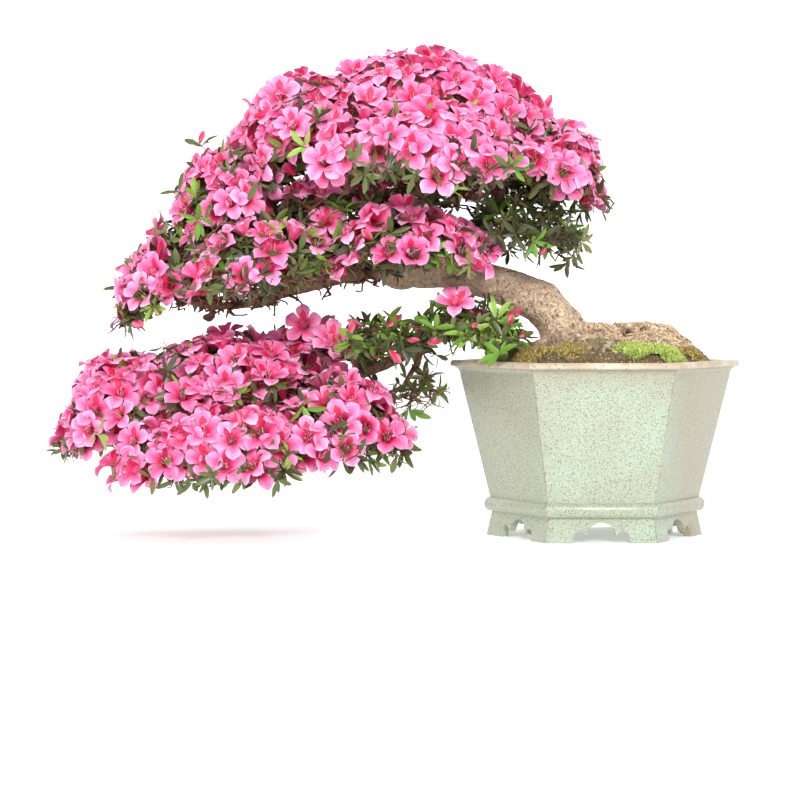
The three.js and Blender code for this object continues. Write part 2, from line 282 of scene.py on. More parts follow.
def mixed(tree, mask, first, second):
    """Colour that is first where the mask is 0 and second where it is 1."""
    node = tree.nodes.new("ShaderNodeMix")
    node.data_type = "RGBA"
    for value, socket in ((mask, "Factor"), (first, "A"), (second, "B")):
        feed(tree, value, node.inputs[socket])
    return node.outputs["Result"]


def relief(tree, shader, height, distance, strength=1.0):
    bump = add_node(tree, "ShaderNodeBump", Height=height, Distance=distance, Strength=strength)
    tree.links.new(bump.outputs["Normal"], shader.inputs["Normal"])


# %% Pale finish of the floor and backdrop
for stage, name, glow in ((floor, "pale_floor", 0.36), (backdrop, "pale_backdrop", 0.9)):
    finish, _, shader = new_material(name, (0.8, 0.8, 0.8, 1), 0.95)
    shader.inputs["Emission Color"].default_value = (1, 1, 1, 1)
    shader.inputs["Emission Strength"].default_value = glow
    stage.data.materials.append(finish)

# %% [markdown]
# ## Glaze and bare clay
#
# The pot has a thin celadon glaze over iron-bearing stoneware. Iron burns through as rust-brown specks,
# and the glaze runs thin on the corners, where the brown body shows. The thin places are worked out from
# the pot's own six-fold shape: the angle round its axis says how near a corner is. The walls at the two
# ends carry painted shade, buffer at the right-hand end and greyer at the left-hand end. The lip is bare
# clay.

# %% Masks of the pot's corners and of a stretch along an axis
SIDES = 6


def corner_mask(tree, reach, most):
    """The value most on the pot's upright corners, falling to 0 about reach metres away, and ragged."""
    to_axis = (-pot_centre.x, -pot_centre.y, 0)
    centred = add_node(tree, "ShaderNodeMapping", Vector=place_of(tree), Location=to_axis)
    axes = add_node(tree, "ShaderNodeSeparateXYZ", Vector=centred.outputs["Vector"])
    angle = maths(tree, "ARCTAN2", axes.outputs["Y"], axes.outputs["X"])
    wave = maths(tree, "ABSOLUTE", maths(tree, "SINE", maths(tree, "MULTIPLY", angle, SIDES / 2)))
    ragged = maths(tree, "MULTIPLY", effect(tree, mottle, Scale=90.0, Low=0.3, High=0.7), most)
    edge = SIDES / 2 * reach / (pot_high.x - pot_centre.x)
    near = add_node(tree, "ShaderNodeMapRange", Value=wave, From_Min=edge, From_Max=0.0)
    return maths(tree, "MULTIPLY", near.outputs["Result"], ragged)


def axis_mask(tree, axis, low, high):
    """0 at the low place along an axis and 1 at the high one."""
    axes = add_node(tree, "ShaderNodeSeparateXYZ", Vector=place_of(tree))
    climb = add_node(tree, "ShaderNodeMapRange", Value=axes.outputs[axis], From_Min=low, From_Max=high)
    climb.interpolation_type = "SMOOTHSTEP"
    return climb.outputs["Result"]


# %% Glaze
RIM_HEIGHT = pot_high.z
glaze, tree, shader = new_material("celadon_glaze", linear(196, 208, 184), 0.32)
CELADON = linear(180, 196, 176)
CELADON_GREY_AND_SHADE = linear(178, 185, 163)
BUFF_AND_SHADE = linear(170, 164, 142)
GRAIN = linear(146, 150, 130)
RUST = linear(100, 76, 58)
PALE_RUST = linear(148, 132, 108)
tone = mixed(tree, effect(tree, mottle, Scale=11.0, Low=0.38, High=0.62), CELADON, CELADON_GREY_AND_SHADE)
tone = mixed(tree, axis_mask(tree, "Z", RIM_HEIGHT - 42 * MM, RIM_HEIGHT), tone, BUFF_AND_SHADE)
# Painted shade on the walls at the two ends of the pot: buff at the right-hand end, grey at the left.
for way, end_wall_shade in ((1, BUFF_AND_SHADE), (-1, CELADON_GREY_AND_SHADE)):
    end_wall_shade_mask = axis_mask(tree, "X", pot_centre.x + way * 60 * MM, pot_centre.x + way * 110 * MM)
    tone = mixed(tree, end_wall_shade_mask, tone, end_wall_shade)
tone = mixed(tree, corner_mask(tree, 2.2 * MM, 1.0), tone, PALE_RUST)
tone = mixed(tree, effect(tree, mottle, Scale=620.0, Low=0.52, High=0.60), tone, GRAIN)
tone = mixed(tree, effect(tree, speckle, Scale=820.0, Size=0.40, Share=0.15), tone, RUST)
tone = mixed(tree, effect(tree, speckle, Scale=230.0, Size=0.15, Share=0.09), tone, RUST)
tree.links.new(tone, shader.inputs["Base Color"])
shader.inputs["Coat Weight"].default_value = 0.2
relief(tree, shader, effect(tree, mottle, Scale=60.0, Low=0.2, High=0.8), 0.5 * MM, 0.6)

# %% Bare clay of the lip and the feet's undersides
bare_clay, tree, shader = new_material("bare_clay", linear(206, 183, 158), 0.75)
CLAY = linear(214, 203, 183)
CLAY_DARK = linear(194, 174, 148)
tone = mixed(tree, effect(tree, mottle, Scale=30.0, Low=0.35, High=0.65), CLAY, CLAY_DARK)
tone = mixed(tree, effect(tree, speckle, Scale=420.0, Size=0.30, Share=0.2), tone, RUST)
tree.links.new(tone, shader.inputs["Base Color"])
relief(tree, shader, effect(tree, mottle, Scale=300.0, Low=0.3, High=0.7), 0.3 * MM, 0.6)

# %% [markdown]
# ## Modelling helpers
#
# An operator works on all that is selected, and loading the frame leaves every CAD node selected, so each
# piece starts by deselecting everything. The finishing helper puts a piece's place into its mesh and
# leaves the object itself at the origin, as the CAD nodes are.

# %% Start, finish and modifier helpers
def start_fresh():
    if bpy.context.object and bpy.context.object.mode != "OBJECT":
        bpy.ops.object.mode_set(mode="OBJECT")
    bpy.ops.object.select_all(action="DESELECT")


def pick(*objects):
    start_fresh()
    for one in objects:
        one.select_set(True)
    bpy.context.view_layer.objects.active = objects[0]
    return objects[0]


def apply_modifier(piece, kind, **settings):
    pick(piece)
    modifier = piece.modifiers.new(kind.lower(), kind)
    for name, value in settings.items():
        setattr(modifier, name, value)
    bpy.ops.object.modifier_apply(modifier=modifier.name)


def settle(piece, name):
    """Puts the object's place, turn and size into its mesh, and names it."""
    pick(piece)
    bpy.ops.object.transform_apply(location=True, rotation=True, scale=True)
    piece.name = name
    piece.data.name = name
    return piece


def outward(piece):
    pick(piece)
    bpy.ops.object.mode_set(mode="EDIT")
    bpy.ops.mesh.select_all(action="SELECT")
    bpy.ops.mesh.remove_doubles(threshold=0.02 * MM)
    bpy.ops.mesh.normals_make_consistent(inside=False)
    bpy.ops.object.mode_set(mode="OBJECT")


def belongs(piece, slot, *nodes):
    """Rides on the plant's one body and stands for the CAD nodes named, which it hides. The slot is not
    used.
    """
    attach(piece, "root")
    if nodes:
        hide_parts(*nodes)
    print(piece.name, len(piece.data.polygons), "faces")


# %% [markdown]
# ## The pot
#
# A thrown pot is a lathe shape, but a six-sided one is slab-built: its profile is carried round by six
# flat walls. The same thing in Blender is a hexagon that is extruded ring by ring, each ring scaled to
# the wall's radius at that height. It starts at the recessed floor, goes down and out to the feet, up the
# flared skirt, round the rolled band, up the wall and its cove, over the lip and down to the floor.

# %% The pot's sizes
LIP_RADIUS = pot_high.x - pot_centre.x
LIP_HEIGHT = 7 * MM
FOOT_RADIUS = 129.6 * MM
SKIRT_TOP_RADIUS = 123 * MM
SKIRT_HEIGHT = 29 * MM
SKIRT_WALL = 11.5 * MM
BAND_RADIUS = 132.6 * MM
BAND_HEIGHT = 17 * MM
WAIST_RADIUS = 125.5 * MM
SHOULDER_RADIUS = 161.5 * MM
SHOULDER_HEIGHT = 192 * MM
INSIDE_TOP_RADIUS = 152 * MM
WALL = 12.7 * MM
FLOOR_UNDER = 33 * MM
FLOOR_TOP = 48 * MM
CORNER_TO_FLAT = math.cos(math.pi / SIDES)

# %% The profile as a list of rings
def band_rings(steps):
    """Rings of the rolled band, a half round from its foot to its top."""
    middle = SKIRT_HEIGHT + BAND_HEIGHT / 2
    for i in range(1, steps):
        turn = -math.pi / 2 + math.pi * i / steps
        yield (
            WAIST_RADIUS + (BAND_RADIUS - WAIST_RADIUS) * math.cos(turn),
            middle + BAND_HEIGHT / 2 * math.sin(turn),
        )


def cove_rings(steps):
    """Rings that curl the wall out from its shoulder to the lip's foot in a quarter round."""
    for i in range(1, steps + 1):
        turn = math.pi / 2 * i / steps
        yield (
            SHOULDER_RADIUS + (LIP_RADIUS - 1.5 * MM - SHOULDER_RADIUS) * (1 - math.cos(turn)),
            SHOULDER_HEIGHT + (lip_foot - SHOULDER_HEIGHT) * math.sin(turn),
        )


lip_foot = RIM_HEIGHT - LIP_HEIGHT
pot_profile = [
    (FOOT_RADIUS - SKIRT_WALL - 5 * MM, FLOOR_UNDER - 4 * MM),
    (FOOT_RADIUS - SKIRT_WALL, 0),
    (FOOT_RADIUS, 0),
    (SKIRT_TOP_RADIUS, SKIRT_HEIGHT),
    *band_rings(9),
    (WAIST_RADIUS, SKIRT_HEIGHT + BAND_HEIGHT),
    (SHOULDER_RADIUS, SHOULDER_HEIGHT),
    *cove_rings(6),
    (LIP_RADIUS, lip_foot + 1.5 * MM),
    (LIP_RADIUS, RIM_HEIGHT - 2.5 * MM),
    (LIP_RADIUS - 2 * MM, RIM_HEIGHT),
    (INSIDE_TOP_RADIUS + 3 * MM, RIM_HEIGHT),
    (INSIDE_TOP_RADIUS, RIM_HEIGHT - 4 * MM),
    (WAIST_RADIUS - WALL, FLOOR_TOP + 6 * MM),
    (WAIST_RADIUS - WALL - 6 * MM, FLOOR_TOP),
]

# %% Extrude the pot ring by ring
def extrude_rings(profile, sides, centre, start):
    """A closed solid whose ring of the given number of sides follows the profile of (radius, height)."""
    start_fresh()
    radius, height = start
    bpy.ops.mesh.primitive_circle_add(
        vertices=sides,
        radius=radius,
        fill_type="NGON",
        location=(centre.x, centre.y, height),
        rotation=(0, 0, math.pi / 2),
    )
    solid = bpy.context.object
    bpy.ops.object.mode_set(mode="EDIT")
    bpy.ops.mesh.select_all(action="SELECT")
    for new_radius, new_height in profile:
        bpy.ops.mesh.extrude_region_move(
            TRANSFORM_OT_translate={"value": (0, 0, new_height - height)}
        )
        share = new_radius / radius
        bpy.ops.transform.resize(
            value=(share, share, 1), center_override=(centre.x, centre.y, new_height)
        )
        radius, height = new_radius, new_height
    bpy.ops.object.mode_set(mode="OBJECT")
    outward(solid)
    return solid


pot = extrude_rings(
    pot_profile, SIDES, pot_centre, (FOOT_RADIUS - SKIRT_WALL - 8 * MM, FLOOR_UNDER)
)

# %% [markdown]
# The skirt has a cloud-shaped opening in the middle of each side: a round arch between two smaller lobes.
# The opening leaves the six corner feet that the pot stands on. One cutter is made from three drums and a
# slab, copied round the pot, and taken away with a Boolean modifier. A drain hole goes the same way.

# %% Cut the clouds and the drain hole
ARCH_RADIUS = 17.5 * MM
LOBE_RADIUS = 7.6 * MM
LOBE_OFFSET = 25 * MM
CLOUD_HEIGHT = 6 * MM
CUT_DEPTH = 40 * MM
DRAIN_RADIUS = 13 * MM
DRAIN_DEPTH = 60 * MM


def drum(radius, x, z):
    bpy.ops.mesh.primitive_cylinder_add(
        vertices=40,
        radius=radius,
        depth=CUT_DEPTH,
        location=(x, 0, z),
        rotation=(math.pi / 2, 0, 0),
    )
    return bpy.context.object


def cloud_cutter():
    start_fresh()
    drums = [
        drum(ARCH_RADIUS, 0, CLOUD_HEIGHT),
        drum(LOBE_RADIUS, LOBE_OFFSET, CLOUD_HEIGHT),
        drum(LOBE_RADIUS, -LOBE_OFFSET, CLOUD_HEIGHT),
    ]
    bpy.ops.mesh.primitive_cube_add(size=1, location=(0, 0, 0))
    slab = bpy.context.object
    slab.scale = (2 * (LOBE_OFFSET + LOBE_RADIUS), CUT_DEPTH, 2 * CLOUD_HEIGHT)
    for one in drums:
        apply_modifier(slab, "BOOLEAN", object=one, operation="UNION", solver="EXACT")
        bpy.data.objects.remove(one)
    return slab


cutter = cloud_cutter()
foot_flat = FOOT_RADIUS * CORNER_TO_FLAT
for side in range(SIDES):
    turn = 2 * math.pi * side / SIDES
    out = Matrix.Rotation(turn, 4, "Z") @ Vector((0, -foot_flat, 0))
    cutter.rotation_euler = (0, 0, turn)
    cutter.location = (pot_centre.x + out.x, pot_centre.y + out.y, 0)
    apply_modifier(pot, "BOOLEAN", object=cutter, operation="DIFFERENCE", solver="EXACT")
bpy.data.objects.remove(cutter)

start_fresh()
bpy.ops.mesh.primitive_cylinder_add(
    vertices=40,
    radius=DRAIN_RADIUS,
    depth=DRAIN_DEPTH,
    location=(pot_centre.x, pot_centre.y, FLOOR_TOP),
)
drill = bpy.context.object
apply_modifier(pot, "BOOLEAN", object=drill, operation="DIFFERENCE", solver="EXACT")
bpy.data.objects.remove(drill)

# %% Soften the pot's edges and give it its clay and glaze
apply_modifier(
    pot, "BEVEL", width=1.3 * MM, segments=3, limit_method="ANGLE", angle_limit=math.radians(30)
)
pick(pot)
bpy.ops.object.shade_smooth_by_angle(angle=math.radians(32))
settle(pot, "hexagonal_pot")
pot.data.materials.append(glaze)
pot.data.materials.append(bare_clay)
for face in pot.data.polygons:
    on_lip = face.center.z > lip_foot - 0.5 * MM
    under_foot = face.center.z < 0.8 * MM
    face.material_index = 1 if on_lip or under_foot else 0
belongs(pot, "glaze", "pot")

# %% [markdown]
# ## Wood
#
# Trunk, surface roots and boughs are one living piece of wood, and no seam shows where a bough leaves
# the trunk. The CAD limbs are copied, joined and skinned again with small voxels, which melts them into
# one body. Knobs are added first, at the burl and where boughs were once cut. Then the skin is moved
# along its normals by layered noise: broad muscles, then wrinkles, then the fine grain of the bark.

# %% Copy the limbs and add the burls
def copy_of(nodes):
    """One object holding copies of the named CAD nodes, with their loose triangles merged."""
    start_fresh()
    twins = []
    for node in nodes:
        twin = frame["nodes"][node].copy()
        twin.data = frame["nodes"][node].data.copy()
        twin.parent = None
        bpy.context.collection.objects.link(twin)
        twin.data.materials.clear()
        twins.append(twin)
    pick(*twins)
    bpy.ops.object.join()
    limbs = bpy.context.object
    outward(limbs)
    return limbs


def knob(x, y, z, radius, flatten=(1, 1, 1)):
    bpy.ops.mesh.primitive_ico_sphere_add(subdivisions=3, radius=radius, location=(x, y, z))
    bump = bpy.context.object
    bump.scale = flatten
    return bump


trunk_low, trunk_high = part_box("trunk")
trunk_tip = Vector((trunk_low.x + 16 * MM, pot_centre.y, trunk_high.z - 24 * MM))
wood = copy_of(["trunk", *roots, *boughs])
start_fresh()
knobs = [
    knob(trunk_tip.x, trunk_tip.y, trunk_tip.z - 4 * MM, 25 * MM, (1.05, 1.0, 0.95)),
    knob(trunk_tip.x - 12 * MM, trunk_tip.y - 8 * MM, trunk_tip.z - 8 * MM, 15 * MM),
    knob(trunk_tip.x + 26 * MM, trunk_tip.y - 14 * MM, trunk_tip.z - 2 * MM, 14 * MM),
    knob(trunk_tip.x + 60 * MM, trunk_tip.y - 12 * MM, trunk_tip.z - 16 * MM, 13 * MM, (1.5, 1, 0.8)),
    knob(pot_centre.x - 66 * MM, pot_centre.y - 14 * MM, soil_top + 50 * MM, 15 * MM, (1.3, 1, 1)),
    knob(pot_centre.x - 30 * MM, pot_centre.y - 26 * MM, soil_top + 10 * MM, 20 * MM, (1.5, 1, 1)),
    knob(pot_centre.x - 14 * MM, pot_centre.y + 24 * MM, soil_top + 8 * MM, 20 * MM, (1.4, 1, 1)),
    knob(pot_centre.x + 6 * MM, pot_centre.y - 8 * MM, soil_top + 10 * MM, 20 * MM, (1.6, 1.3, 0.9)),
]
pick(wood, *knobs)
bpy.ops.object.join()
print("wood starts from", len(wood.data.polygons), "faces")

# %% Skin the wood as one body
apply_modifier(wood, "REMESH", mode="VOXEL", voxel_size=1.9 * MM)
apply_modifier(wood, "SMOOTH", factor=0.6, iterations=6)
settle(wood, "trunk_and_boughs")

# %% Read and write all the points of a mesh at once
def points_of(mesh):
    flat = np.empty(len(mesh.vertices) * 3)
    mesh.vertices.foreach_get("co", flat)
    return flat.reshape(-1, 3)


def normals_of(mesh):
    flat = np.empty(len(mesh.vertices) * 3)
    mesh.vertices.foreach_get("normal", flat)
    return flat.reshape(-1, 3)


def put_points(mesh, points):
    mesh.vertices.foreach_set("co", points.ravel())
    mesh.update()


def wander(points, size, seed):
    """Smooth noise from -1 to 1 at each point, with features about size metres across."""
    shift = Vector((seed * 7.1, seed * 3.3, seed * 5.7))
    return np.array([noise.noise(Vector(p) / size + shift) for p in points])


# %% Bark relief, stronger on thick wood than on thin
trunk_tree = BVHTree.FromPolygons(
    [v.co for v in frame["nodes"]["trunk"].data.vertices],
    [p.vertices for p in frame["nodes"]["trunk"].data.polygons],
)
skin = points_of(wood.data)
near_trunk = np.array([trunk_tree.find_nearest(Vector(p))[3] for p in skin])
girth = np.clip(1.0 - near_trunk / (25 * MM), 0.0, 1.0)
girth = np.where(skin[:, 0] > trunk_high.x - 40 * MM, 1.0, girth)
muscles = wander(skin * (0.7, 1, 1), 34 * MM, 1)
wrinkles = -np.abs(wander(skin * (0.55, 1, 1), 13 * MM, 2))
grain = wander(skin * (0.5, 1, 1), 4.5 * MM, 3)
height = girth * (2.4 * muscles + 2.0 * wrinkles + 0.5 * grain)
height += (1 - girth) * (0.7 * wander(skin, 9 * MM, 4) + 0.3 * grain)
root_share = np.clip((skin[:, 0] - trunk_high.x + 44 * MM) / (16 * MM), 0, 1)
root_folds = -np.abs(wander(skin * (0.6, 1, 1), 11 * MM, 5)) - 0.5 * np.abs(wander(skin, 6 * MM, 6))
height += root_share * (1.2 + 7 * root_folds)
# "fold" marks the bottom of each crease, where the bark's colour is darkened as painted shade.
fold = np.clip(-wrinkles * girth - 0.05, 0, 1) * 0.3
fold += np.clip(root_share * (-root_folds - 0.28) * 2.6, 0, 1)
put_points(wood.data, skin + normals_of(wood.data) * (height * MM)[:, None])
for name, values in (("girth", girth), ("fold", np.clip(fold, 0, 1))):
    wood.data.attributes.new(name, "FLOAT", "POINT").data.foreach_set("value", values)
pick(wood)
bpy.ops.object.shade_smooth()

# %% [markdown]
# Bark: grey-brown on top of a warmer brown, tan where the outer skin has flaked, painted shade in the
# folds, and a paler, barer wood low down. Of the two attributes written above, "girth" tells old trunk
# wood from the darker, younger boughs, and "fold" paints shade into the bottom of each crease.

# %% Bark
bark, tree, shader = new_material("azalea_bark", linear(150, 120, 95), 0.8)
flaked = effect(tree, mottle, Scale=26.0, Low=0.42, High=0.6)
blotched = effect(tree, mottle, Scale=75.0, Low=0.48, High=0.62)
grainy = effect(tree, mottle, Scale=330.0, Low=0.38, High=0.70)
GREY_BROWN, TAN, WARM_BROWN = linear(186, 157, 137), linear(216, 188, 162), linear(164, 132, 110)
BARE_WOOD, FLECK, GRAIN_TONE = linear(252, 226, 192), linear(132, 98, 76), linear(196, 166, 140)
tone = mixed(tree, flaked, GREY_BROWN, TAN)
tone = mixed(tree, blotched, tone, WARM_BROWN)
low_down = axis_mask(tree, "Z", soil_top + 125 * MM, soil_top + 30 * MM)
tone = mixed(tree, low_down, tone, BARE_WOOD)
tone = mixed(tree, effect(tree, mottle, Scale=230.0, Low=0.54, High=0.64), tone, FLECK)
tone = mixed(tree, grainy, tone, GRAIN_TONE)
thin_wood = mixed(tree, blotched, linear(140, 110, 88), linear(98, 72, 58))


def stored(tree, name):
    node = tree.nodes.new("ShaderNodeAttribute")
    node.attribute_name = name
    return node.outputs["Fac"]


tone = mixed(tree, stored(tree, "girth"), thin_wood, tone)
# Painted shade: a dark brown at the bottom of each crease.
tone = mixed(tree, stored(tree, "fold"), tone, linear(92, 70, 52))
tree.links.new(tone, shader.inputs["Base Color"])
relief(tree, shader, grainy, 1.2 * MM, 1.0)
wood.data.materials.append(bark)
belongs(wood, "bark", "trunk", *roots, *boughs)


# %% [markdown]
# ## Soil
#
# The soil is a hexagonal body of grit that fills the pot and rises to a low mound under the trunk. A fine
# grid is cut to the pot's six inner walls by bisecting, its points are raised to the mound's height, and
# the sheet is then extruded down to make a solid. Grit lies on top as a few thousand small stones.

# %% Cut a grid to the pot's inside
SOIL_EDGE = RIM_HEIGHT - 8 * MM
edge_share = (SOIL_EDGE - FLOOR_TOP) / (RIM_HEIGHT - FLOOR_TOP)
inside_floor = WAIST_RADIUS - WALL
inner_flat = (inside_floor + (INSIDE_TOP_RADIUS - inside_floor) * edge_share) * CORNER_TO_FLAT
start_fresh()
bpy.ops.mesh.primitive_grid_add(
    x_subdivisions=130,
    y_subdivisions=130,
    size=2.2 * inner_flat / CORNER_TO_FLAT,
    location=(pot_centre.x, pot_centre.y, soil_top),
)
soil = bpy.context.object
bpy.ops.object.mode_set(mode="EDIT")
for side in range(SIDES):
    turn = math.radians(30 + 60 * side)
    normal = Vector((math.cos(turn), math.sin(turn), 0))
    bpy.ops.mesh.select_all(action="SELECT")
    bpy.ops.mesh.bisect(
        plane_co=pot_centre + normal * (inner_flat - 0.4 * MM), plane_no=normal, clear_outer=True
    )
bpy.ops.object.mode_set(mode="OBJECT")
settle(soil, "soil_mound")

# %% Raise the mound
def from_the_wall(x, y):
    """How far a place on the soil is from the nearest inner wall of the pot."""
    reach = max(
        abs((x - pot_centre.x) * math.cos(t) + (y - pot_centre.y) * math.sin(t))
        for t in (math.pi / 6, math.pi / 2, 5 * math.pi / 6)
    )
    return inner_flat - reach


CRUST = pot_centre + Vector((4 * MM, -52 * MM, 0))


def mound_height(x, y):
    """The soil's height: a flat-topped mound that falls to a little below the rim."""
    share = min(max(from_the_wall(x, y) / (22 * MM), 0), 1)
    rise = share * share * (3 - 2 * share)
    here = Vector((x, y, 0))
    from_crust = math.hypot((x - CRUST.x) / (66 * MM), (y - CRUST.y) / (30 * MM))
    crust = max(0.0, 1 - from_crust**2) * (11 + 7 * noise.noise(here / (9 * MM)))
    rough = crust + 2.2 * noise.noise(here / (22 * MM)) + 0.9 * noise.noise(here / (6 * MM))
    return SOIL_EDGE + (soil_top - SOIL_EDGE) * rise + rough * MM * (0.3 + 0.7 * rise)


for point in soil.data.vertices:
    point.co.z = mound_height(point.co.x, point.co.y)

pick(soil)
bpy.ops.object.mode_set(mode="EDIT")
bpy.ops.mesh.select_all(action="SELECT")
bpy.ops.mesh.extrude_region_move(TRANSFORM_OT_translate={"value": (0, 0, FLOOR_TOP - soil_top)})
bpy.ops.object.mode_set(mode="OBJECT")
picked = np.array([p.select for p in soil.data.vertices])
below = points_of(soil.data)
taper = inside_floor / INSIDE_TOP_RADIUS * 0.97
below[picked, 0] = pot_centre.x + (below[picked, 0] - pot_centre.x) * taper
below[picked, 1] = pot_centre.y + (below[picked, 1] - pot_centre.y) * taper
below[picked, 2] = FLOOR_TOP + 0.5 * MM
put_points(soil.data, below)
outward(soil)
pick(soil)
bpy.ops.object.shade_smooth()

# %% Soil colour
earth, tree, shader = new_material("moist_grit", linear(104, 88, 62), 0.95)
damp = effect(tree, mottle, Scale=60.0, Low=0.4, High=0.6)
tone = mixed(tree, damp, linear(96, 84, 54), linear(126, 104, 72))
tone = mixed(tree, effect(tree, speckle, Scale=500.0, Size=0.45, Share=0.35), tone, linear(150, 128, 96))
tree.links.new(tone, shader.inputs["Base Color"])
relief(tree, shader, effect(tree, mottle, Scale=380.0, Low=0.3, High=0.7), 1.2 * MM, 0.8)
soil.data.materials.append(earth)
belongs(soil, "soil", "soil")

# %% [markdown]
# ## Many small things from arrays
#
# Grit, moss, fibres, twigs, leaves and petals come in thousands, and one joined mesh for each kind is far
# lighter than thousands of objects. Each kind has one small template, a short list of points and
# triangles. A copy is the template turned by a matrix and moved to a place, and numpy does all the copies
# in one step.

# %% Build a mesh from arrays
def mesh_piece(name, points, triangles, finishes, indices=None, smooth=True):
    mesh = bpy.data.meshes.new(name)
    mesh.vertices.add(len(points))
    mesh.vertices.foreach_set("co", np.asarray(points, float).ravel())
    mesh.loops.add(len(triangles) * 3)
    mesh.loops.foreach_set("vertex_index", np.asarray(triangles, np.int32).ravel())
    mesh.polygons.add(len(triangles))
    mesh.polygons.foreach_set("loop_start", np.arange(0, len(triangles) * 3, 3, dtype=np.int32))
    mesh.update(calc_edges=True)
    for finish in finishes:
        mesh.materials.append(finish)
    if indices is not None:
        mesh.polygons.foreach_set("material_index", np.asarray(indices, np.int32))
    mesh.polygons.foreach_set("use_smooth", [smooth] * len(triangles))
    mesh.validate()
    piece = bpy.data.objects.new(name, mesh)
    bpy.context.collection.objects.link(piece)
    return piece


def copies(template, triangles, turns, places):
    """The template's points under each turn (N, 3, 3) and place (N, 3), and triangles for all of them."""
    points = np.einsum("nij,vj->nvi", turns, template) + places[:, None, :]
    steps = np.arange(len(places)) * len(template)
    faces = np.asarray(triangles)[None, :, :] + steps[:, None, None]
    return points.reshape(-1, 3), faces.reshape(-1, 3)


def unit(vectors):
    return vectors / np.maximum(np.linalg.norm(vectors, axis=-1, keepdims=True), 1e-9)


def turned_to(axis, top):
    """Matrices whose third column is the axis, and whose second is as near as it can be to top."""
    axis = unit(axis)
    side = np.cross(top, axis)
    weak = np.linalg.norm(side, axis=1) < 1e-3
    side[weak] = np.cross(axis[weak], [0.31, 0.72, 0.62])
    side = unit(side)
    return np.stack([side, np.cross(axis, side), axis], axis=2)


# %% Round stems along a path
def tube(path, radii, sides):
    """Points and triangles of a round stem along a path, closed at both ends."""
    path = np.asarray(path, float)
    along = unit(np.gradient(path, axis=0))
    first = np.cross(along[0], [0.3, 0.5, 0.81])
    frames = []
    for heading in along:
        first = unit(first - heading * np.dot(first, heading))
        frames.append((first, np.cross(heading, first)))
    angles = np.arange(sides) * 2 * np.pi / sides
    rings = [
        p + r * (np.cos(angles)[:, None] * a + np.sin(angles)[:, None] * b)
        for p, r, (a, b) in zip(path, radii, frames)
    ]
    faces = []
    for i in range(len(path) - 1):
        for k in range(sides):
            a, b = i * sides + k, i * sides + (k + 1) % sides
            faces += [(a, b, b + sides), (a, b + sides, a + sides)]
    last = (len(path) - 1) * sides
    for k in range(1, sides - 1):
        faces.append((0, k + 1, k))
        faces.append((last, last + k, last + k + 1))
    return np.concatenate(rings), np.array(faces)


def joined(parts):
    """Joins a list of (points, triangles) into one pair of arrays."""
    starts = np.cumsum([0] + [len(points) for points, _ in parts])
    faces = [some_faces + start for (_, some_faces), start in zip(parts, starts)]
    return np.concatenate([points for points, _ in parts]), np.concatenate(faces)


# %% Grit stones
start_fresh()
bpy.ops.mesh.primitive_ico_sphere_add(subdivisions=1, radius=1)
stone = bpy.context.object
stone_points = points_of(stone.data)
stone_faces = np.array([tuple(p.vertices) for p in stone.data.polygons])
bpy.data.objects.remove(stone)


def on_the_soil(count):
    """Random places on the soil, inside the pot."""
    found = []
    while len(found) < count:
        away = random.uniform(-1, 1, 2) * inner_flat / CORNER_TO_FLAT
        x, y = pot_centre.x + away[0], pot_centre.y + away[1]
        if from_the_wall(x, y) > 3 * MM:
            found.append((x, y, mound_height(x, y)))
    return np.array(found)


def stones(name, slot, places, flattest, sizes, finishes):
    """Stones at the places, each turned, flattened and coloured by chance."""
    count = len(places)
    turns = turned_to(random.normal(size=(count, 3)), random.normal(size=(count, 3)))
    turns = turns * random.uniform(flattest, 1.0, (count, 1, 3))
    turns *= random.uniform(*sizes, (count, 1, 1)) * MM
    points, faces = copies(stone_points, stone_faces, turns, places)
    kinds = np.repeat(random.integers(0, len(finishes), count), len(stone_faces))
    belongs(mesh_piece(name, points, faces, finishes, kinds, smooth=False), slot)


GRIT_COUNT = 2400
GRIT = [linear(150, 128, 98), linear(116, 98, 72), linear(176, 158, 132)]
stones("grit", "soil", on_the_soil(GRIT_COUNT), 0.5, (1.0, 2.6), finishes_of("grit", GRIT, 0.95))

# %% Crust of old root and clay in front of the trunk
CRUST_COUNT = 900
CRUST_TONES = [linear(158, 144, 122), linear(122, 106, 84), linear(188, 174, 150), linear(140, 132, 96)]
crust_x, crust_y = (random.normal(0, 0.42, (CRUST_COUNT, 2)) * (66 * MM, 30 * MM) + CRUST.xy).T
crust_places = np.array([(x, y, mound_height(x, y)) for x, y in zip(crust_x, crust_y)])
crust_finishes = finishes_of("crust", CRUST_TONES, 0.95)
stones("root_crust", "root_bark", crust_places, 0.35, (2.2, 6.5), crust_finishes)

# %% [markdown]
# ## Moss
#
# Moss grows in low cushions round the foot of the trunk: bright green on the right, where it is fresh,
# and olive on the left, where it is dry. A cushion is a crowd of tiny upright blades that lean outward,
# and each blade is one thin folded leaf of three triangles.

# %% Moss cushions
MOSS_PATCHES = [
    # (right of the pot's middle, behind it, reach in x, reach in y, blades, fresh)
    (62 * MM, -84 * MM, 52 * MM, 40 * MM, 6400, True),
    (108 * MM, -24 * MM, 22 * MM, 34 * MM, 1300, False),
    (-64 * MM, -80 * MM, 60 * MM, 42 * MM, 6000, False),
    (-106 * MM, -6 * MM, 26 * MM, 44 * MM, 2200, False),
    (-50 * MM, 84 * MM, 60 * MM, 34 * MM, 3600, True),
    (60 * MM, 92 * MM, 52 * MM, 30 * MM, 3200, False),
]
blade = np.array([(-0.16, 0, 0), (0.16, 0, 0), (-0.2, 0.1, 0.55), (0.2, 0.1, 0.55), (0, 0.35, 1.0)])
blade_faces = [(0, 1, 3), (0, 3, 2), (2, 3, 4)]


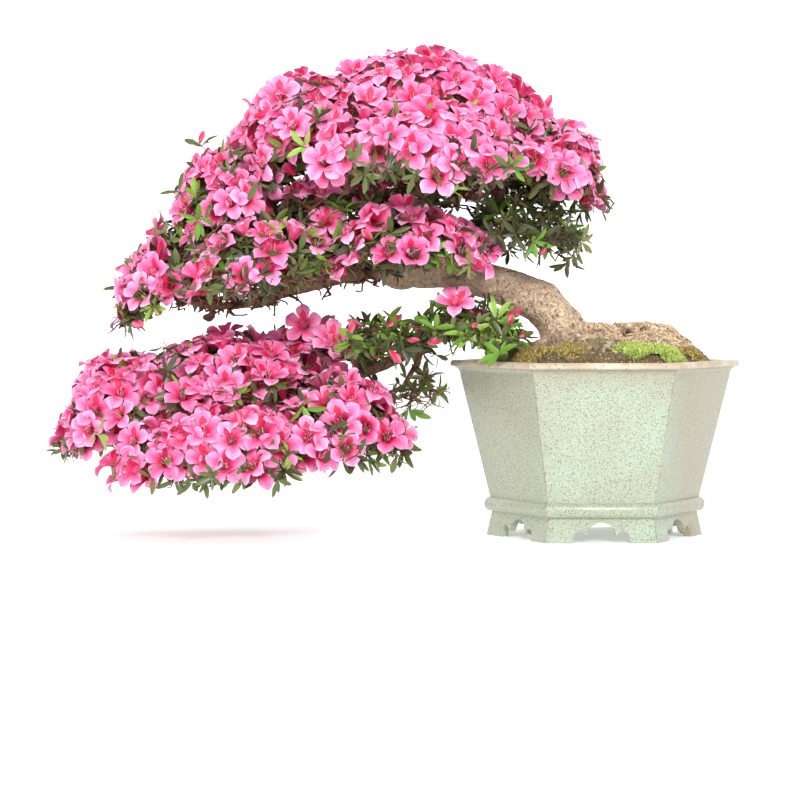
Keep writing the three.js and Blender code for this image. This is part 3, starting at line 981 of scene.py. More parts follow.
def moss_place(patch):
    right, back, reach_x, reach_y, count, fresh = patch
    turn, away = random.uniform(0, 2 * math.pi, count), np.sqrt(random.uniform(0, 1, count))
    ragged = away * (0.85 + 0.15 * np.sin(5 * turn + right))
    spread = np.stack([ragged * np.cos(turn), ragged * np.sin(turn)], 1)
    x = pot_centre.x + right + spread[:, 0] * reach_x
    y = pot_centre.y + back + spread[:, 1] * reach_y
    inside = np.array([from_the_wall(px, py) > 6 * MM for px, py in zip(x, y)])
    x, y, spread = x[inside], y[inside], spread[inside]
    dome = (1 - (spread**2).sum(1)) * (8 if fresh else 5) * MM
    z = np.array([mound_height(px, py) for px, py in zip(x, y)]) + dome - 1.5 * MM
    leaning = np.stack([spread[:, 0], spread[:, 1], np.full(len(x), 1.1)], 1)
    return np.stack([x, y, z], 1), leaning + random.normal(0, 0.35, leaning.shape)


MOSS = [linear(216, 226, 136), linear(178, 200, 100), linear(204, 184, 112), linear(166, 146, 88)]
moss_places, moss_axes, moss_kinds = [], [], []
for patch in MOSS_PATCHES:
    where, leaning = moss_place(patch)
    moss_places.append(where)
    moss_axes.append(leaning)
    moss_kinds.append(random.integers(0, 2, len(where)) + (0 if patch[5] else 2))
moss_places = np.concatenate(moss_places)
moss_turns = turned_to(np.concatenate(moss_axes), random.normal(size=moss_places.shape))
moss_turns *= random.uniform(2.6, 5.6, (len(moss_places), 1, 1)) * MM
moss_points, moss_faces = copies(blade, blade_faces, moss_turns, moss_places)
moss_finishes = finishes_of("moss", MOSS, 0.9)
moss_kinds = np.repeat(np.concatenate(moss_kinds), len(blade_faces))
moss = mesh_piece("moss", moss_points, moss_faces, moss_finishes, moss_kinds, smooth=False)
belongs(moss, "soil")

# %% [markdown]
# ## Dry roots
#
# To the right of the trunk the old roots stand clear of the soil under a mat of dry fibres. Each fibre
# starts on the mat and creeps outward and down over it. At each step the point is dropped back on the
# nearest piece of wood or soil, so that a fibre follows what it lies on.

# %% Creep fibres over the wood and soil
def tree_of(piece):
    return BVHTree.FromPolygons(
        [v.co for v in piece.data.vertices], [tuple(p.vertices) for p in piece.data.polygons]
    )


wood_tree = tree_of(wood)
clump_low, clump_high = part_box("root_clump")
clump_middle = (clump_low + clump_high) / 2


FIBRE_COUNT = 720
CLINGS_WITHIN = 24 * MM
STOPS_FROM_WALL = 14 * MM


def fibre(start, heading, length, thickness):
    """A path that creeps from start along heading, and the stem's radius at each of its points."""
    steps = max(4, int(length / (4 * MM)))
    path, here = [], Vector(start)
    for _ in range(steps):
        swerve = random.normal(0, 0.35, 3)
        heading = (heading + Vector(swerve)).normalized()
        here = here + heading * (length / steps)
        if from_the_wall(here.x, here.y) <= STOPS_FROM_WALL:
            break
        spot, normal, _, distance = wood_tree.find_nearest(here)
        ground = mound_height(here.x, here.y)
        if distance < CLINGS_WITHIN and spot.z > ground + 1 * MM:
            here = spot + normal * (thickness + random.uniform(-0.3, 1.0) * MM)
        else:
            here = Vector((here.x, here.y, ground + thickness * 0.5))
        path.append(tuple(here))
    return np.array(path), np.linspace(1.0, 0.45, len(path)) * thickness


fibres = []
while len(fibres) < FIBRE_COUNT:
    side = random.uniform(-1, 1)
    start = (
        random.uniform(clump_low.x - 16 * MM, clump_high.x + 6 * MM),
        clump_middle.y + side * 44 * MM,
        clump_high.z + random.uniform(-16, 4) * MM,
    )
    heading = Vector((random.normal(0.35, 0.7), side * 1.1 + random.normal(0, 0.4), -0.15)).normalized()
    path, shrink = fibre(start, heading, random.uniform(14, 52) * MM, random.uniform(0.35, 1.3) * MM)
    if len(path) > 2:
        fibres.append(tube(path, shrink, 5))
fibre_points, fibre_faces = joined(fibres)
FIBRES = [linear(222, 196, 160), linear(184, 154, 120), linear(238, 218, 190)]
fibre_finishes = finishes_of("root_fibre", FIBRES, 0.9)
fibre_kinds = np.concatenate([np.full(len(faces), i % len(FIBRES)) for i, (_, faces) in enumerate(fibres)])
dry_roots = mesh_piece("dry_roots", fibre_points, fibre_faces, fibre_finishes, fibre_kinds)
belongs(dry_roots, "root_bark")

# %% [markdown]
# ## Where leaves and flowers end up
#
# A bonsai's pads are trimmed to an outline, so the growth works backwards from it: first the places of
# the tips, spread evenly over each mass and through its depth, and then the twigs that reach them. Flowers
# take the outside of a mass that faces up or out, leaves fill all the rest. A table says how much of each
# mass is in flower, and one that it doesn't name is in full flower, with a second layer of flowers sunk
# under the first, all in the deep tint as painted shade. Three more flowers stand alone, over the rim and
# on the cascade's ridge. A place that another mass covers gets no tip.

# %% How each mass is dressed
IN_FLOWER = {
    "left_upper": 0.6,
    "left_front": 0.4,
    "left_back": 0.5,
    "left_tip": 0.55,
    "middle_right": 0.04,
    "middle_front": 0.75,
    "middle_left": 0.6,
    "rim_left": 0.02,
    "rim_right": 0.02,
    "rim_under": 0.0,
    "cascade_ridge": 0.22,
    "cascade_right": 0.9,
}
FRESH = {
    "rim_left": 0.45,
    "rim_right": 0.4,
    "rim_under": 0.1,
    "cascade_ridge": 0.45,
    "cascade_front": 0.25,
    "cascade_right": 0.25,
    "middle_right": 0.2,
}
FLOWER_SPACING = 24.5 * MM
LEAF_SPACING = 15 * MM
FLOWER_ROOM = 12 * MM  # a flower is left out where another mass lies this near, and so is a leafy tip
LEAF_ROOM = 8 * MM


def mass_triangles(node):
    mesh = frame["nodes"][node].data
    points = points_of(mesh)
    mesh.calc_loop_triangles()
    faces = np.array([tuple(t.vertices) for t in mesh.loop_triangles])
    return points, faces


mass_mesh = {node: mass_triangles(node) for node in masses}
mass_tree = {
    node: BVHTree.FromPolygons([Vector(p) for p in points], faces.tolist())
    for node, (points, faces) in mass_mesh.items()
}


def shows(normals):
    """How likely the surface is to flower, from 0 where it faces down to 1 where it faces up."""
    return np.clip(0.25 + 2.2 * normals[..., 2], 0, 1)


def scatter(node, spacing):
    """Random points on a mass's surface, about four for each spacing squared, with their normals."""
    points, faces = mass_mesh[node]
    a, b, c = points[faces[:, 0]], points[faces[:, 1]], points[faces[:, 2]]
    across = np.cross(b - a, c - a)
    area = np.linalg.norm(across, axis=1) / 2
    count = int(4 * area.sum() / spacing**2)
    chosen = random.choice(len(faces), count, p=area / area.sum())
    u, v = random.uniform(size=(2, count, 1))
    over = u + v > 1
    u, v = np.where(over, 1 - u, u), np.where(over, 1 - v, v)
    spots = a[chosen] + u * (b - a)[chosen] + v * (c - a)[chosen]
    return spots, unit(across)[chosen]


def is_covered(node, spot, normal, reach):
    """True where another mass lies close outside the spot."""
    start = Vector(spot) + Vector(normal) * 1.5 * MM
    for other, tree in mass_tree.items():
        if other != node and tree.ray_cast(start, Vector(normal), reach)[0] is not None:
            return True
    return False


def spread_out(spots, spacing):
    """Indices of the spots that are kept so that none is nearer to another than spacing."""
    cells, kept = {}, []
    for i, spot in enumerate(spots):
        cell = tuple(np.floor(spot / spacing).astype(int))
        close = (
            j
            for dx in (-1, 0, 1)
            for dy in (-1, 0, 1)
            for dz in (-1, 0, 1)
            for j in cells.get((cell[0] + dx, cell[1] + dy, cell[2] + dz), ())
        )
        if all(np.sum((spots[j] - spot) ** 2) > spacing**2 for j in close):
            cells.setdefault(cell, []).append(i)
            kept.append(i)
    return np.array(kept, int)


# %% Places of the flowers
UNDER_SHARE = 0.65  # flowers of the second layer for each one of the first
UNDER_ASIDE = 13 * MM
UNDER_DEPTH = 18 * MM
UNDER_MARGIN = 20 * MM  # no second layer this near the front and back of the CAD box
PLACED_PROUD = 13 * MM
PLACED_FLOWERS = [
    # (mass, right of the pot's middle, height)
    ("rim_right", -168 * MM, 280 * MM),
    ("cascade_ridge", -352 * MM, 250 * MM),
    ("cascade_ridge", -318 * MM, 236 * MM),
]
flower_spots, flower_normals, flower_mass = [], [], []
for node in masses:
    spots, normals = scatter(node, 10 * MM)
    share = IN_FLOWER.get(node, 0.93)
    for spot, normal in zip(spots, normals):
        if random.uniform() < share * shows(normal) and not is_covered(node, spot, normal, FLOWER_ROOM):
            flower_spots.append(spot)
            flower_normals.append(normal)
            flower_mass.append(node)
flower_spots = np.array(flower_spots)
flower_normals = np.array(flower_normals)
kept = spread_out(flower_spots, FLOWER_SPACING)
sparse = np.array([random.uniform() < IN_FLOWER.get(flower_mass[i], 0.97) ** 0.5 for i in kept])
kept = kept[sparse]
flower_mass = [flower_mass[i] for i in kept]
flower_spots, flower_normals = flower_spots[kept], flower_normals[kept]
full = np.array([node not in IN_FLOWER for node in flower_mass])
well_inside = np.abs(flower_spots[:, 1]) < cad_high.y - UNDER_MARGIN
below = np.flatnonzero(full & well_inside & (random.uniform(size=len(flower_mass)) < UNDER_SHARE))
outer_count = len(flower_mass)
sideways = unit(np.cross(flower_normals[below], random.normal(size=(len(below), 3))))
flower_spots = np.concatenate([flower_spots, flower_spots[below] + sideways * UNDER_ASIDE])
flower_normals = np.concatenate([flower_normals, flower_normals[below]])
flower_mass += [flower_mass[i] for i in below]
for node, right, up in PLACED_FLOWERS:
    aim = Vector((pot_centre.x + right, pot_low.y - 0.1, up))
    spot, normal, _, _ = mass_tree[node].ray_cast(aim, Vector((0, 1, 0)))
    flower_spots = np.append(flower_spots, [spot], axis=0)
    flower_normals = np.append(flower_normals, [normal + Vector((0, -1.4, 0))], axis=0)
    flower_mass.append(node)
sunk = random.uniform(-11, 4, (len(flower_spots), 1)) * MM
sunk[outer_count:] = -UNDER_DEPTH
sunk[-len(PLACED_FLOWERS) :] = PLACED_PROUD
flower_spots += unit(flower_normals) * sunk
print(len(flower_spots), "flowers")

# %% Places of the leafy tips, on the surface and inside
SHOOTS = {  # share of the tips under a mass that hang out of it, where it isn't the usual one
    "crown_front": 0.5,
    "crown_right": 0.4,
    "crown_left": 0.35,
    "left_upper": 0.35,
    "left_front": 0.05,
    "left_back": 0.05,
    "left_tip": 0.05,
    "middle_right": 0.3,
}
USUAL_SHOOTS = 0.16
LEAFY = {"rim_under": 0.6, "cascade_ridge": 0.9}  # closeness of the leafy tips, 1 in any other mass
CLEAR_OF_FLOWERS, CLEAR_OF_PLACED = 15 * MM, 38 * MM
leaf_spots, leaf_normals, leaf_mass = [], [], []
for node in masses:
    spots, normals = scatter(node, LEAF_SPACING)
    clear = np.array([not is_covered(node, s, n, LEAF_ROOM) for s, n in zip(spots, normals)])
    spots, normals = spots[clear], normals[clear]
    kept = spread_out(spots, LEAF_SPACING / LEAFY.get(node, 1.0))
    flowery = shows(normals[kept]) * IN_FLOWER.get(node, 1.0)
    depth = (random.uniform(4, 10, len(kept)) + 14 * flowery) * MM
    hanging = SHOOTS.get(node, USUAL_SHOOTS)
    reaches_out = random.uniform(size=len(kept)) < np.where(normals[kept, 2] < 0, hanging, 0.01)
    furthest = np.where(normals[kept, 2] < 0, 20, 8)
    depth = np.where(reaches_out, -random.uniform(4, furthest) * MM, depth)
    leaf_spots.append(spots[kept] - normals[kept] * depth[:, None])
    leaf_normals.append(normals[kept])
    leaf_mass += [node] * len(kept)
leaf_spots, leaf_normals = np.concatenate(leaf_spots), np.concatenate(leaf_normals)
to_flower = np.linalg.norm(leaf_spots[:, None] - flower_spots[None], axis=2)
clearance = np.full(len(flower_spots), CLEAR_OF_FLOWERS)
clearance[-len(PLACED_FLOWERS) :] = CLEAR_OF_PLACED
seen = np.flatnonzero((to_flower > clearance).all(1))
leaf_spots, leaf_normals, leaf_mass = leaf_spots[seen], leaf_normals[seen], [leaf_mass[i] for i in seen]
print(len(leaf_spots), "leafy tips")

# %% Places of the bare twig ends, under each mass and in mats along the boughs
MATS = [  # bare woody ends beside a bough: (bough, number, reach to the front and back, and below)
    ("bough_left", 330, 66 * MM, 13 * MM),
    ("bough_crown_right", 320, 76 * MM, 46 * MM),
    ("bough_crown_left", 190, 74 * MM, 40 * MM),
    ("bough_crown_front", 250, 56 * MM, 50 * MM),
    ("bough_leader", 110, 50 * MM, 24 * MM),
]
TWIGGY = {"rim_under": 6 * MM, "crown_front": 7 * MM, "crown_right": 7 * MM, "left_front": 7 * MM}
TWIG_END_SPACING = 9 * MM
bare_spots, bare_normals, bare_mass = [], [], []
for node in masses:
    spacing = TWIGGY.get(node, TWIG_END_SPACING)
    spots, normals = scatter(node, spacing)
    kept = spread_out(spots, spacing)
    below = kept[normals[kept, 2] < -0.1]
    hanging = 16 if node in TWIGGY else 5
    bare_spots.append(spots[below] - normals[below] * random.uniform(-hanging, 10, (len(below), 1)) * MM)
    bare_normals.append(normals[below])
    bare_mass += [node] * len(below)
fine_ends = len(bare_mass)
leader = points_of(frame["nodes"]["bough_leader"].data)
fork = leader[leader[:, 2].argmin()]
for node, number, reach, drop in MATS:
    along = points_of(frame["nodes"][node].data)
    aside = random.uniform((-18 * MM, -reach, -drop), (18 * MM, reach, 8 * MM), (number, 3))
    bare_spots.append(along[random.integers(0, len(along), number)] + aside)
    bare_normals.append(unit(aside) * 0.6 + unit(along.mean(0) - fork))
    bare_mass += [node] * number
bare_spots, bare_normals = np.concatenate(bare_spots), np.concatenate(bare_normals)
print(len(bare_spots), "bare twig ends")

# %% [markdown]
# ## Growing the twigs
#
# Every tip is joined, the nearest first, to the point of the growing plant that costs least: the distance
# to it, plus a share of how far that point already is from the old wood. The second term keeps a twig from
# running on in one long chain and makes it fork. The path bends away from its parent's direction towards
# the tip. A stem's thickness then follows from how many tips it feeds, as it does on a real branch.

# %% Join each tip to the plant
FLOWER_STALK = 20 * MM
flower_axes = unit(
    unit(flower_normals) + random.normal(0, 0.22, flower_normals.shape) + np.array([0, 0, 0.08])
)
flower_feet = flower_spots - unit(flower_normals) * 4 * MM - flower_axes * FLOWER_STALK
leaf_axes = unit(unit(leaf_normals) + random.normal(0, 0.45, leaf_normals.shape) + np.array([0, 0, 0.25]))
wildness = np.where(np.arange(len(bare_normals)) < fine_ends, 0.7, 0.2)[:, None]
bare_axes = unit(unit(bare_normals) * 0.4 + random.normal(0, 1, bare_normals.shape) * wildness)
tips = np.concatenate([flower_feet, leaf_spots, bare_spots])
tip_axes = np.concatenate([flower_axes, leaf_axes, bare_axes])


def hangs(node):
    """True for what hangs over the pot's rim, which grows from the two low boughs only."""
    return "cascade" in node or "rim" in node


tip_hangs = np.array([hangs(node) for node in [*flower_mass, *leaf_mass, *bare_mass]])
old_wood, old_hangs = [], []
for node in boughs:
    places = np.unique(points_of(frame["nodes"][node].data).round(3), axis=0)
    old_wood.append(places)
    old_hangs += [hangs(node)] * len(places)
old_wood = np.concatenate(old_wood)
reach = np.full(len(tips), 1e9)
for chunk in np.array_split(np.arange(len(tips)), 20):
    reach[chunk] = np.linalg.norm(tips[chunk, None] - old_wood[None], axis=2).min(1)

STEP = 9 * MM
DEPTH_SHARE = 0.22
BARRED = 9  # metres added to a way that would mix hanging and upright growth, so none is taken
BEND = 0.45
JITTER = 0.7 * MM
most = len(old_wood) + len(tips) * 14
spot = np.zeros((most, 3))
depth = np.zeros(most)
parent = np.full(most, -1)
spot[: len(old_wood)] = old_wood
low_part = np.zeros(most, bool)
low_part[: len(old_wood)] = old_hangs
count = len(old_wood)
paths = []
tip_node = np.zeros(len(tips), int)
for tip in np.argsort(reach):
    goal = tips[tip]
    away = np.linalg.norm(spot[:count] - goal, axis=1)
    barred = low_part[:count] != tip_hangs[tip]
    start = int(np.argmin(away + DEPTH_SHARE * depth[:count] + BARRED * barred))
    length = away[start]
    steps = max(1, int(math.ceil(length / STEP)))
    bend = goal - tip_axes[tip] * length * BEND
    path = [start]
    for i in range(1, steps + 1):
        t = i / steps
        here = (1 - t) ** 2 * spot[start] + 2 * t * (1 - t) * bend + t * t * goal
        here = here + random.normal(0, JITTER, 3) * (i < steps)
        spot[count] = here
        parent[count] = path[-1]
        depth[count] = depth[path[-1]] + length / steps
        low_part[count] = tip_hangs[tip]
        path.append(count)
        count += 1
    tip_node[tip] = path[-1]
    paths.append(path)
print(count - len(old_wood), "twig joints for", len(tips), "tips")

# %% Thickness from the number of tips that a stem feeds
TWIG_RADIUS = 0.55 * MM
THICKEST = 3.6 * MM
THICKENING = 0.42  # the power of the number of tips that the radius follows
MAT_WEIGHT = 4  # tips that an end in a mat counts for beyond its own, since its wood is old
feeds = np.zeros(count)
feeds[tip_node] += 1
feeds[tip_node[len(tips) - len(bare_mass) + fine_ends :]] += MAT_WEIGHT
for i in range(count - 1, len(old_wood) - 1, -1):
    feeds[parent[i]] += feeds[i]
radius = np.minimum(TWIG_RADIUS * np.maximum(feeds, 1) ** THICKENING, THICKEST)

# %% The twigs as joined stems
stems = []
for path in paths:
    trail = spot[path]
    widths = radius[path].copy()
    widths[0] = min(widths[0], widths[1] * 1.15)
    stems.append(tube(trail, widths, 5 if widths[1] > 1.1 * MM else 4))
twig_points, twig_faces = joined(stems)
print(len(twig_faces), "twig triangles")

# %% Twig bark
OLD_TWIG = linear(112, 74, 56)
YOUNG_TWIG = linear(134, 104, 66)
twig_finishes = [
    new_material("old_twig", OLD_TWIG, 0.85)[0],
    new_material("young_twig", YOUNG_TWIG, 0.7)[0],
]
twig_kinds = np.concatenate(
    [np.full(len(faces), int(radius[path[1]] < 0.75 * MM)) for path, (_, faces) in zip(paths, stems)]
)
twigs = mesh_piece("twigs", twig_points, twig_faces, twig_finishes, twig_kinds)
belongs(twigs, "bough_bark", *masses)

# %% [markdown]
# ## Leaves
#
# An azalea's leaf is a small ellipse, folded a little along its midrib and curled down at its tip, and
# the leaves sit in a whorl at the end of each shoot. The template has twelve triangles: two at the foot,
# eight along the blade and two at the tip. Old leaves are dark, and shoots over the rim are fresh green.
# All leaves are joined into two pieces, left and right, to keep each piece light, and a leaf that would
# end too far outside the CAD box is left out.

# %% The leaf template
def leaf_template(width, fold, curl):
    """A leaf one unit long along +Y, with its upper side towards +Z."""
    rows = [(0.24, 0.66), (0.56, 1.0), (0.86, 0.62)]
    points = [(0, 0, 0)]
    for along, share in rows:
        edge = width * share / 2
        droop = -curl * along**2
        lift = droop + fold * edge
        points += [(-edge, along, lift), (0, along, droop), (edge, along, lift)]
    points.append((0, 1, -curl))
    faces = [(0, 2, 1), (0, 3, 2)]
    for a in (1, 4):
        faces += [(a, a + 1, a + 4), (a, a + 4, a + 3), (a + 1, a + 2, a + 5), (a + 1, a + 5, a + 4)]
    faces += [(7, 8, 10), (8, 9, 10)]
    return np.array(points), faces


LEAF_SHAPES = [
    leaf_template(0.31, 0.4, 0.12),
    leaf_template(0.27, 0.6, 0.24),
    leaf_template(0.34, 0.3, 0.05),
]

# %% Whorls of leaves
FRESH_SHARE = 0.10
FRESH_LENGTH = 1.15


def whorl(axis, foot, number, length, openness):
    """Turns, places and lengths of the leaves round the end of one shoot."""
    start = random.uniform(0, 2 * math.pi)
    side = unit(np.cross(axis, [0.3, 0.2, 0.9]))
    other = np.cross(axis, side)
    for i in range(number):
        turn = start + 2 * math.pi * i / number + random.normal(0, 0.25)
        out = math.cos(turn) * side + math.sin(turn) * other
        lean = openness + random.normal(0, 0.2)
        along = unit(math.cos(lean) * axis + math.sin(lean) * out)
        face = unit(axis - along * np.dot(axis, along) + random.normal(0, 0.12, 3))
        place = foot - axis * random.uniform(0, 9) * MM
        yield along, face, place, length * random.uniform(0.6, 1.15)


LEAF_LENGTH = 23 * MM
FRESH_COLOURS = [3, 4]  # places in the list of leaf colours, which the next cell gives
OLD_COLOURS, OLD_SHARES = [0, 1, 2, 5], [0.42, 0.38, 0.18, 0.02]
leaf_along, leaf_face, leaf_place, leaf_size, leaf_colour = [], [], [], [], []


def dress_tip(axis, foot, fresh, number, length, openness):
    if fresh:
        colour = random.choice(FRESH_COLOURS)
    else:
        colour = random.choice(OLD_COLOURS, p=OLD_SHARES)
    for along, face, place, size in whorl(axis, foot, number, length, openness):
        leaf_along.append(along)
        leaf_face.append(face)
        leaf_place.append(place)
        leaf_size.append(size)
        leaf_colour.append(colour)


for axis, foot, node in zip(leaf_axes, leaf_spots, leaf_mass):
    fresh = random.uniform() < FRESH.get(node, FRESH_SHARE)
    length = LEAF_LENGTH * (FRESH_LENGTH if fresh else 1.0)
    dress_tip(axis, foot, fresh, int(random.integers(4, 8)), length, 1.05)
for axis, foot in zip(flower_axes, flower_feet):
    if random.uniform() < 0.2:
        dress_tip(axis, foot, random.uniform() < 0.1, int(random.integers(2, 5)), LEAF_LENGTH, 1.3)
for axis, foot, node in zip(bare_axes[fine_ends:], bare_spots[fine_ends:], bare_mass[fine_ends:]):
    if node.startswith("bough_crown") and random.uniform() < 0.16:
        dress_tip(axis, foot, False, int(random.integers(3, 7)), LEAF_LENGTH, 1.1)
print(len(leaf_place), "leaves")

# %% Join the leaves into a left and a right piece
LEAF_MARGIN = 14 * MM
LEAF_COLOURS = [
    linear(72, 76, 45),
    linear(94, 106, 56),
    linear(124, 122, 70),
    linear(108, 152, 54),
    linear(148, 186, 80),
    linear(136, 86, 60),
]
leaf_finishes = finishes_of("leaf", LEAF_COLOURS, 0.32)

leaf_along, leaf_face = np.array(leaf_along), np.array(leaf_face)
leaf_place, leaf_size = np.array(leaf_place), np.array(leaf_size)
leaf_colour = np.array(leaf_colour)
leaf_ends = leaf_place + leaf_along * leaf_size[:, None]
too_low, too_high = np.array(cad_low) - LEAF_MARGIN, np.array(cad_high) + LEAF_MARGIN
within = ((leaf_ends > too_low) & (leaf_ends < too_high)).all(1)
leaf_along, leaf_face, leaf_place = leaf_along[within], leaf_face[within], leaf_place[within]
leaf_size, leaf_colour = leaf_size[within], leaf_colour[within]
leaf_turns = np.stack([np.cross(leaf_along, leaf_face), leaf_along, leaf_face], 2)
leaf_turns *= leaf_size[:, None, None]
leaf_shape = random.integers(0, len(LEAF_SHAPES), len(leaf_place))


def leaf_piece(name, chosen):
    parts, kinds = [], []
    for i, (template, faces) in enumerate(LEAF_SHAPES):
        these = np.flatnonzero(chosen & (leaf_shape == i))
        parts.append(copies(template, faces, leaf_turns[these], leaf_place[these]))
        kinds.append(np.repeat(leaf_colour[these], len(faces)))
    points, faces = joined(parts)
    belongs(mesh_piece(name, points, faces, leaf_finishes, np.concatenate(kinds)), "foliage")


left_half = leaf_place[:, 0] < np.median(leaf_place[:, 0])
for side, chosen in (("left", left_half), ("right", ~left_half)):
    leaf_piece(f"leaves_{side}", chosen)

# %% [markdown]
# ## Flowers
#
# The flower is an open funnel of five broad, wavy lobes that are joined near the throat. Its colour
# deepens inward, from light pink edges to a rose throat that runs out along each midrib, and the uppermost
# lobe carries a red blotch that guides insects. The template is worked out lobe by lobe from a table of
# rows, from the throat to the edge, and each band of faces takes its own plain colour.

# %% The flower template
ACROSS = 5
LOBES = 5
FLOWER_RADIUS = 26.5 * MM
LOBE_ROWS = [
    # (distance from the axis, height, half width), in flower radii
    (0.08, -0.80, 0.058),
    (0.15, -0.52, 0.109),
    (0.29, -0.24, 0.211),
    (0.50, -0.07, 0.325),
    (0.72, 0.00, 0.375),
    (0.91, -0.02, 0.290),
    (1.00, -0.06, 0.110),
]
ROUNDING = (0, 0, 0, 0.01, 0.03, 0.07, 0.05)
INNER_BANDS = ((0, 0), (0, 1), (1, 2), (2, 3), (3, 4), (4, 5))  # nearer and further half of a face
OUTER_BANDS = ((0, 0), (1, 1), (2, 3), (3, 4), (4, 5), (5, 5))
BLOTCH = 6
SWING = (0, -4, -2, 2, 4)  # degrees that a lobe's outer part turns, which parts the two lowest lobes


def lobe_point(lobe, across, row, wave, curl, openness):
    """One point of a lobe, with across from -1 to 1 and row an index of LOBE_ROWS."""
    out, height, half = LOBE_ROWS[row]
    free = max(0.0, (out - 0.29) / 0.71)
    out -= ROUNDING[row] * across**2
    out *= 1 - (1 - openness) * free**0.5
    height += (1 - openness) * 0.9 * free
    height -= (curl + 0.10 * math.sin(wave + lobe * 2.4)) * free**2
    height += free * (0.05 * abs(across) + 0.06 * math.sin(3.3 * across + wave + lobe * 1.9))
    turn = math.pi / 2 + 2 * math.pi * lobe / LOBES + math.radians(SWING[lobe]) * free
    aside = half * across
    lap = 0.05 * across * free
    return (
        out * math.cos(turn) - aside * math.sin(turn),
        out * math.sin(turn) + aside * math.cos(turn),
        height + lap,
    )


def flower_template(wave, curl, openness):
    points, faces, bands = [], [], []
    for lobe in range(LOBES):
        first = len(points)
        for row in range(len(LOBE_ROWS)):
            for i in range(ACROSS):
                points.append(lobe_point(lobe, -1 + 2 * i / (ACROSS - 1), row, wave, curl, openness))
        for row in range(len(LOBE_ROWS) - 1):
            for i in range(ACROSS - 1):
                a, b = first + row * ACROSS + i, first + (row + 1) * ACROSS + i
                if i < ACROSS // 2:
                    faces += [(a, a + 1, b + 1), (a, b + 1, b)]
                else:
                    faces += [(a, a + 1, b), (a + 1, b + 1, b)]
                inner = i in (1, 2)
                near, far = INNER_BANDS[row] if inner else OUTER_BANDS[row]
                if lobe == 0 and inner and row in (2, 3):
                    near, far = BLOTCH, BLOTCH if row == 2 else far
                bands += [near, far]
    return np.array(points), faces, np.array(bands)


FLOWER_SHAPES = [
    flower_template(0.0, 0.10, 1.0),
    flower_template(2.0, 0.26, 0.98),
    flower_template(4.0, 0.06, 0.94),
    flower_template(1.2, 0.06, 0.80),
]
print(len(FLOWER_SHAPES[0][1]), "triangles in a flower")

# %% Petal colours, three tints of seven bands
THROAT_TO_EDGE = [
    (224, 42, 92),
    (234, 66, 122),
    (242, 98, 152),
    (248, 128, 180),
    (252, 154, 202),
    (254, 182, 220),
]
BLOTCH_COLOUR = (226, 44, 92)


def tint(strength):
    """The seven colours with their green and blue raised or lowered together."""
    return [
        (min(255, red + 5 * strength), green + 14 * strength, blue + 11 * strength)
        for red, green, blue in [*THROAT_TO_EDGE, BLOTCH_COLOUR]
    ]


TINTS = {"pale": tint(1), "middle": tint(0), "deep": tint(-1)}
PALE_MIDDLE_DEEP = [0.22, 0.44, 0.34]
SHADE_TINT = 2
PETAL_ROUGHNESS = 0.6

# %% Place the flowers
flower_count = len(flower_spots)
flower_kind = random.choice(len(FLOWER_SHAPES), flower_count, p=[0.38, 0.32, 0.20, 0.10])
flower_kind[-len(PLACED_FLOWERS) :] = 0
flower_tint = random.choice(len(TINTS), flower_count, p=PALE_MIDDLE_DEEP)
# The second layer all takes the deep tint, as painted shade for the flowers sunk inside the crown.
flower_tint[outer_count : -len(PLACED_FLOWERS)] = SHADE_TINT
flower_size = FLOWER_RADIUS * random.uniform(0.88, 1.08, flower_count)
upward = np.tile([0.0, 0.0, 1.0], (flower_count, 1)) + random.normal(0, 0.25, (flower_count, 3))
flower_turns = turned_to(flower_axes, upward) * flower_size[:, None, None]
flower_places = flower_feet + flower_axes * FLOWER_STALK
for number, (tone_name, colours) in enumerate(TINTS.items()):
    linear_colours = [linear(*colour) for colour in colours]
    finishes = finishes_of(f"petal_{tone_name}", linear_colours, PETAL_ROUGHNESS)
    parts, kinds = [], []
    for shape, (template, faces, bands) in enumerate(FLOWER_SHAPES):
        these = np.flatnonzero((flower_tint == number) & (flower_kind == shape))
        parts.append(copies(template, faces, flower_turns[these], flower_places[these]))
        kinds.append(np.tile(bands, len(these)))
    points, faces = joined(parts)
    petals = mesh_piece(f"petals_{tone_name}", points, faces, finishes, np.concatenate(kinds))
    belongs(petals, "blossom")

# %% [markdown]
# ## Stamens
#
# Five slender stamens and one longer style spring from the throat and curve upward at their ends. Each
# stamen ends in a dark anther. They are thin, but without them the throat of a flower looks empty.

# %% Stamens and style of one flower
def stamen_template():
    parts, kinds = [], []
    for i in range(6):
        turn = 2 * math.pi * i / 6 + 0.3
        long = 0.62 if i else 0.85
        spread = 0.16 if i else 0.05
        path = [
            (0.03 * math.cos(turn), 0.03 * math.sin(turn), -0.72),
            (spread * 0.5 * math.cos(turn), spread * 0.5 * math.sin(turn) - 0.05, -0.72 + long * 0.5),
            (spread * math.cos(turn), spread * math.sin(turn) + 0.06, -0.72 + long),
        ]
        points, faces = tube(path, [0.016, 0.014, 0.012], 3)
        parts.append((points, faces))
        kinds += [0] * len(faces)
        tip = np.array(path[-1])
        top = [tip, tip + (0, 0.02, 0.03), tip + (0, 0.03, 0.075)]
        points, faces = tube(top, [0.014, 0.03, 0.012], 3)
        parts.append((points, faces))
        kinds += [1] * len(faces)
    points, faces = joined(parts)
    return points, faces, np.array(kinds)


template, faces, kinds = stamen_template()
DEEPEST_WITH_STAMENS = -7 * MM
outermost = sunk[:, 0] > DEEPEST_WITH_STAMENS
points, all_faces = copies(template, faces, flower_turns[outermost], flower_places[outermost])
stamen_finishes = [
    new_material("filament", linear(247, 176, 205), 0.5)[0],
    new_material("anther", linear(120, 66, 60), 0.7)[0],
]
stamens = mesh_piece("stamens", points, all_faces, stamen_finishes, np.tile(kinds, outermost.sum()))
belongs(stamens, "blossom")

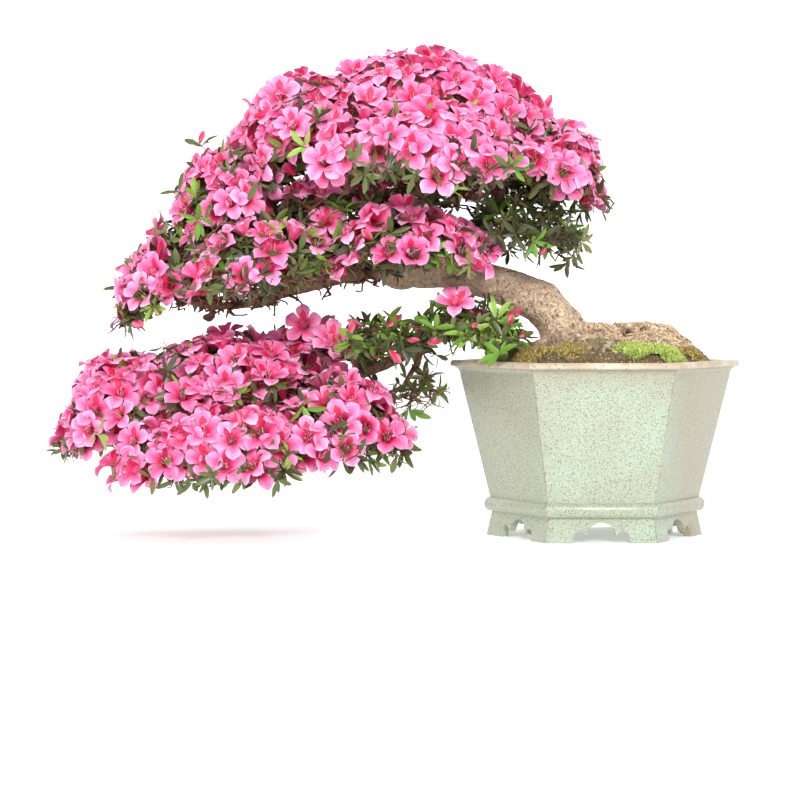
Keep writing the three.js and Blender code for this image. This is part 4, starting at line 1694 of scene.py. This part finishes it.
# %% [markdown]
# ## Flower backs and buds
#
# Behind each flower a short tube narrows to a green calyx. Shoots that haven't opened yet end in a
# spindle-shaped bud of deep rose, twisted like a furled umbrella, above the same green scales.

# %% Tubes behind the flowers
def turned_template(profile, sides, twist=0.0):
    """A closed spindle about +Z through the (radius, height) profile."""
    points = [(0, 0, profile[0][1])]
    for row, (radius_here, height_here) in enumerate(profile[1:-1]):
        for k in range(sides):
            turn = 2 * math.pi * k / sides + twist * row
            points.append((radius_here * math.cos(turn), radius_here * math.sin(turn), height_here))
    points.append((0, 0, profile[-1][1]))
    rows, last, faces = len(profile) - 2, len(points) - 1, []
    for k in range(sides):
        after = (k + 1) % sides
        faces.append((0, 1 + after, 1 + k))
        for row in range(rows - 1):
            a, b = 1 + row * sides + k, 1 + row * sides + after
            faces += [(a, b, b + sides), (a, b + sides, a + sides)]
        faces.append((last, 1 + (rows - 1) * sides + k, 1 + (rows - 1) * sides + after))
    return np.array(points), faces


calyx_profile = [(0, -0.80), (0.075, -0.78), (0.10, -0.68), (0, -0.60)]
calyx_template, calyx_faces = turned_template(calyx_profile, 5)
points, all_faces = copies(calyx_template, calyx_faces, flower_turns, flower_places)
calyx_green = new_material("calyx_green", linear(118, 146, 66), 0.6)[0]
calyx = mesh_piece("calyx", points, all_faces, [calyx_green])
belongs(calyx, "foliage")

# %% Buds among the leaves
BUD_LENGTH = 30 * MM
IN_BUD = {"rim_left": 0.16, "rim_right": 0.16, "cascade_ridge": 0.22, "middle_right": 0.06}
USUAL_BUDS = 0.035
BUD_SIDES = 6
has_bud = np.array([random.uniform() < IN_BUD.get(node, USUAL_BUDS) for node in leaf_mass])
bud_feet = leaf_spots[has_bud]
bud_axes = unit(leaf_axes[has_bud] + random.normal(0, 0.5, (len(bud_feet), 3)))
bud_size = BUD_LENGTH * random.uniform(0.6, 1.1, len(bud_feet))
bud_turns = turned_to(bud_axes, random.normal(size=bud_axes.shape)) * bud_size[:, None, None]
bud_profile = [(0, 0.0), (0.09, 0.06), (0.13, 0.25), (0.19, 0.5), (0.18, 0.7), (0.09, 0.9), (0, 1.0)]
bud_template, bud_faces = turned_template(bud_profile, BUD_SIDES, 0.35)
points, all_faces = copies(bud_template, bud_faces, bud_turns, bud_feet)
faces_to_a_side = len(bud_faces) // BUD_SIDES
bud_bands = [
    2 if face < 2 else side % 2 for side in range(BUD_SIDES) for face in range(faces_to_a_side)
]
bud_finishes = [
    new_material("bud_rose", linear(228, 58, 100), PETAL_ROUGHNESS)[0],
    new_material("bud_pink", linear(247, 128, 160), PETAL_ROUGHNESS)[0],
    new_material("bud_scale", linear(140, 132, 66), 0.6)[0],
]
buds = mesh_piece("buds", points, all_faces, bud_finishes, np.tile(bud_bands, len(bud_feet)))
belongs(buds, "blossom")
print(len(bud_feet), "buds")
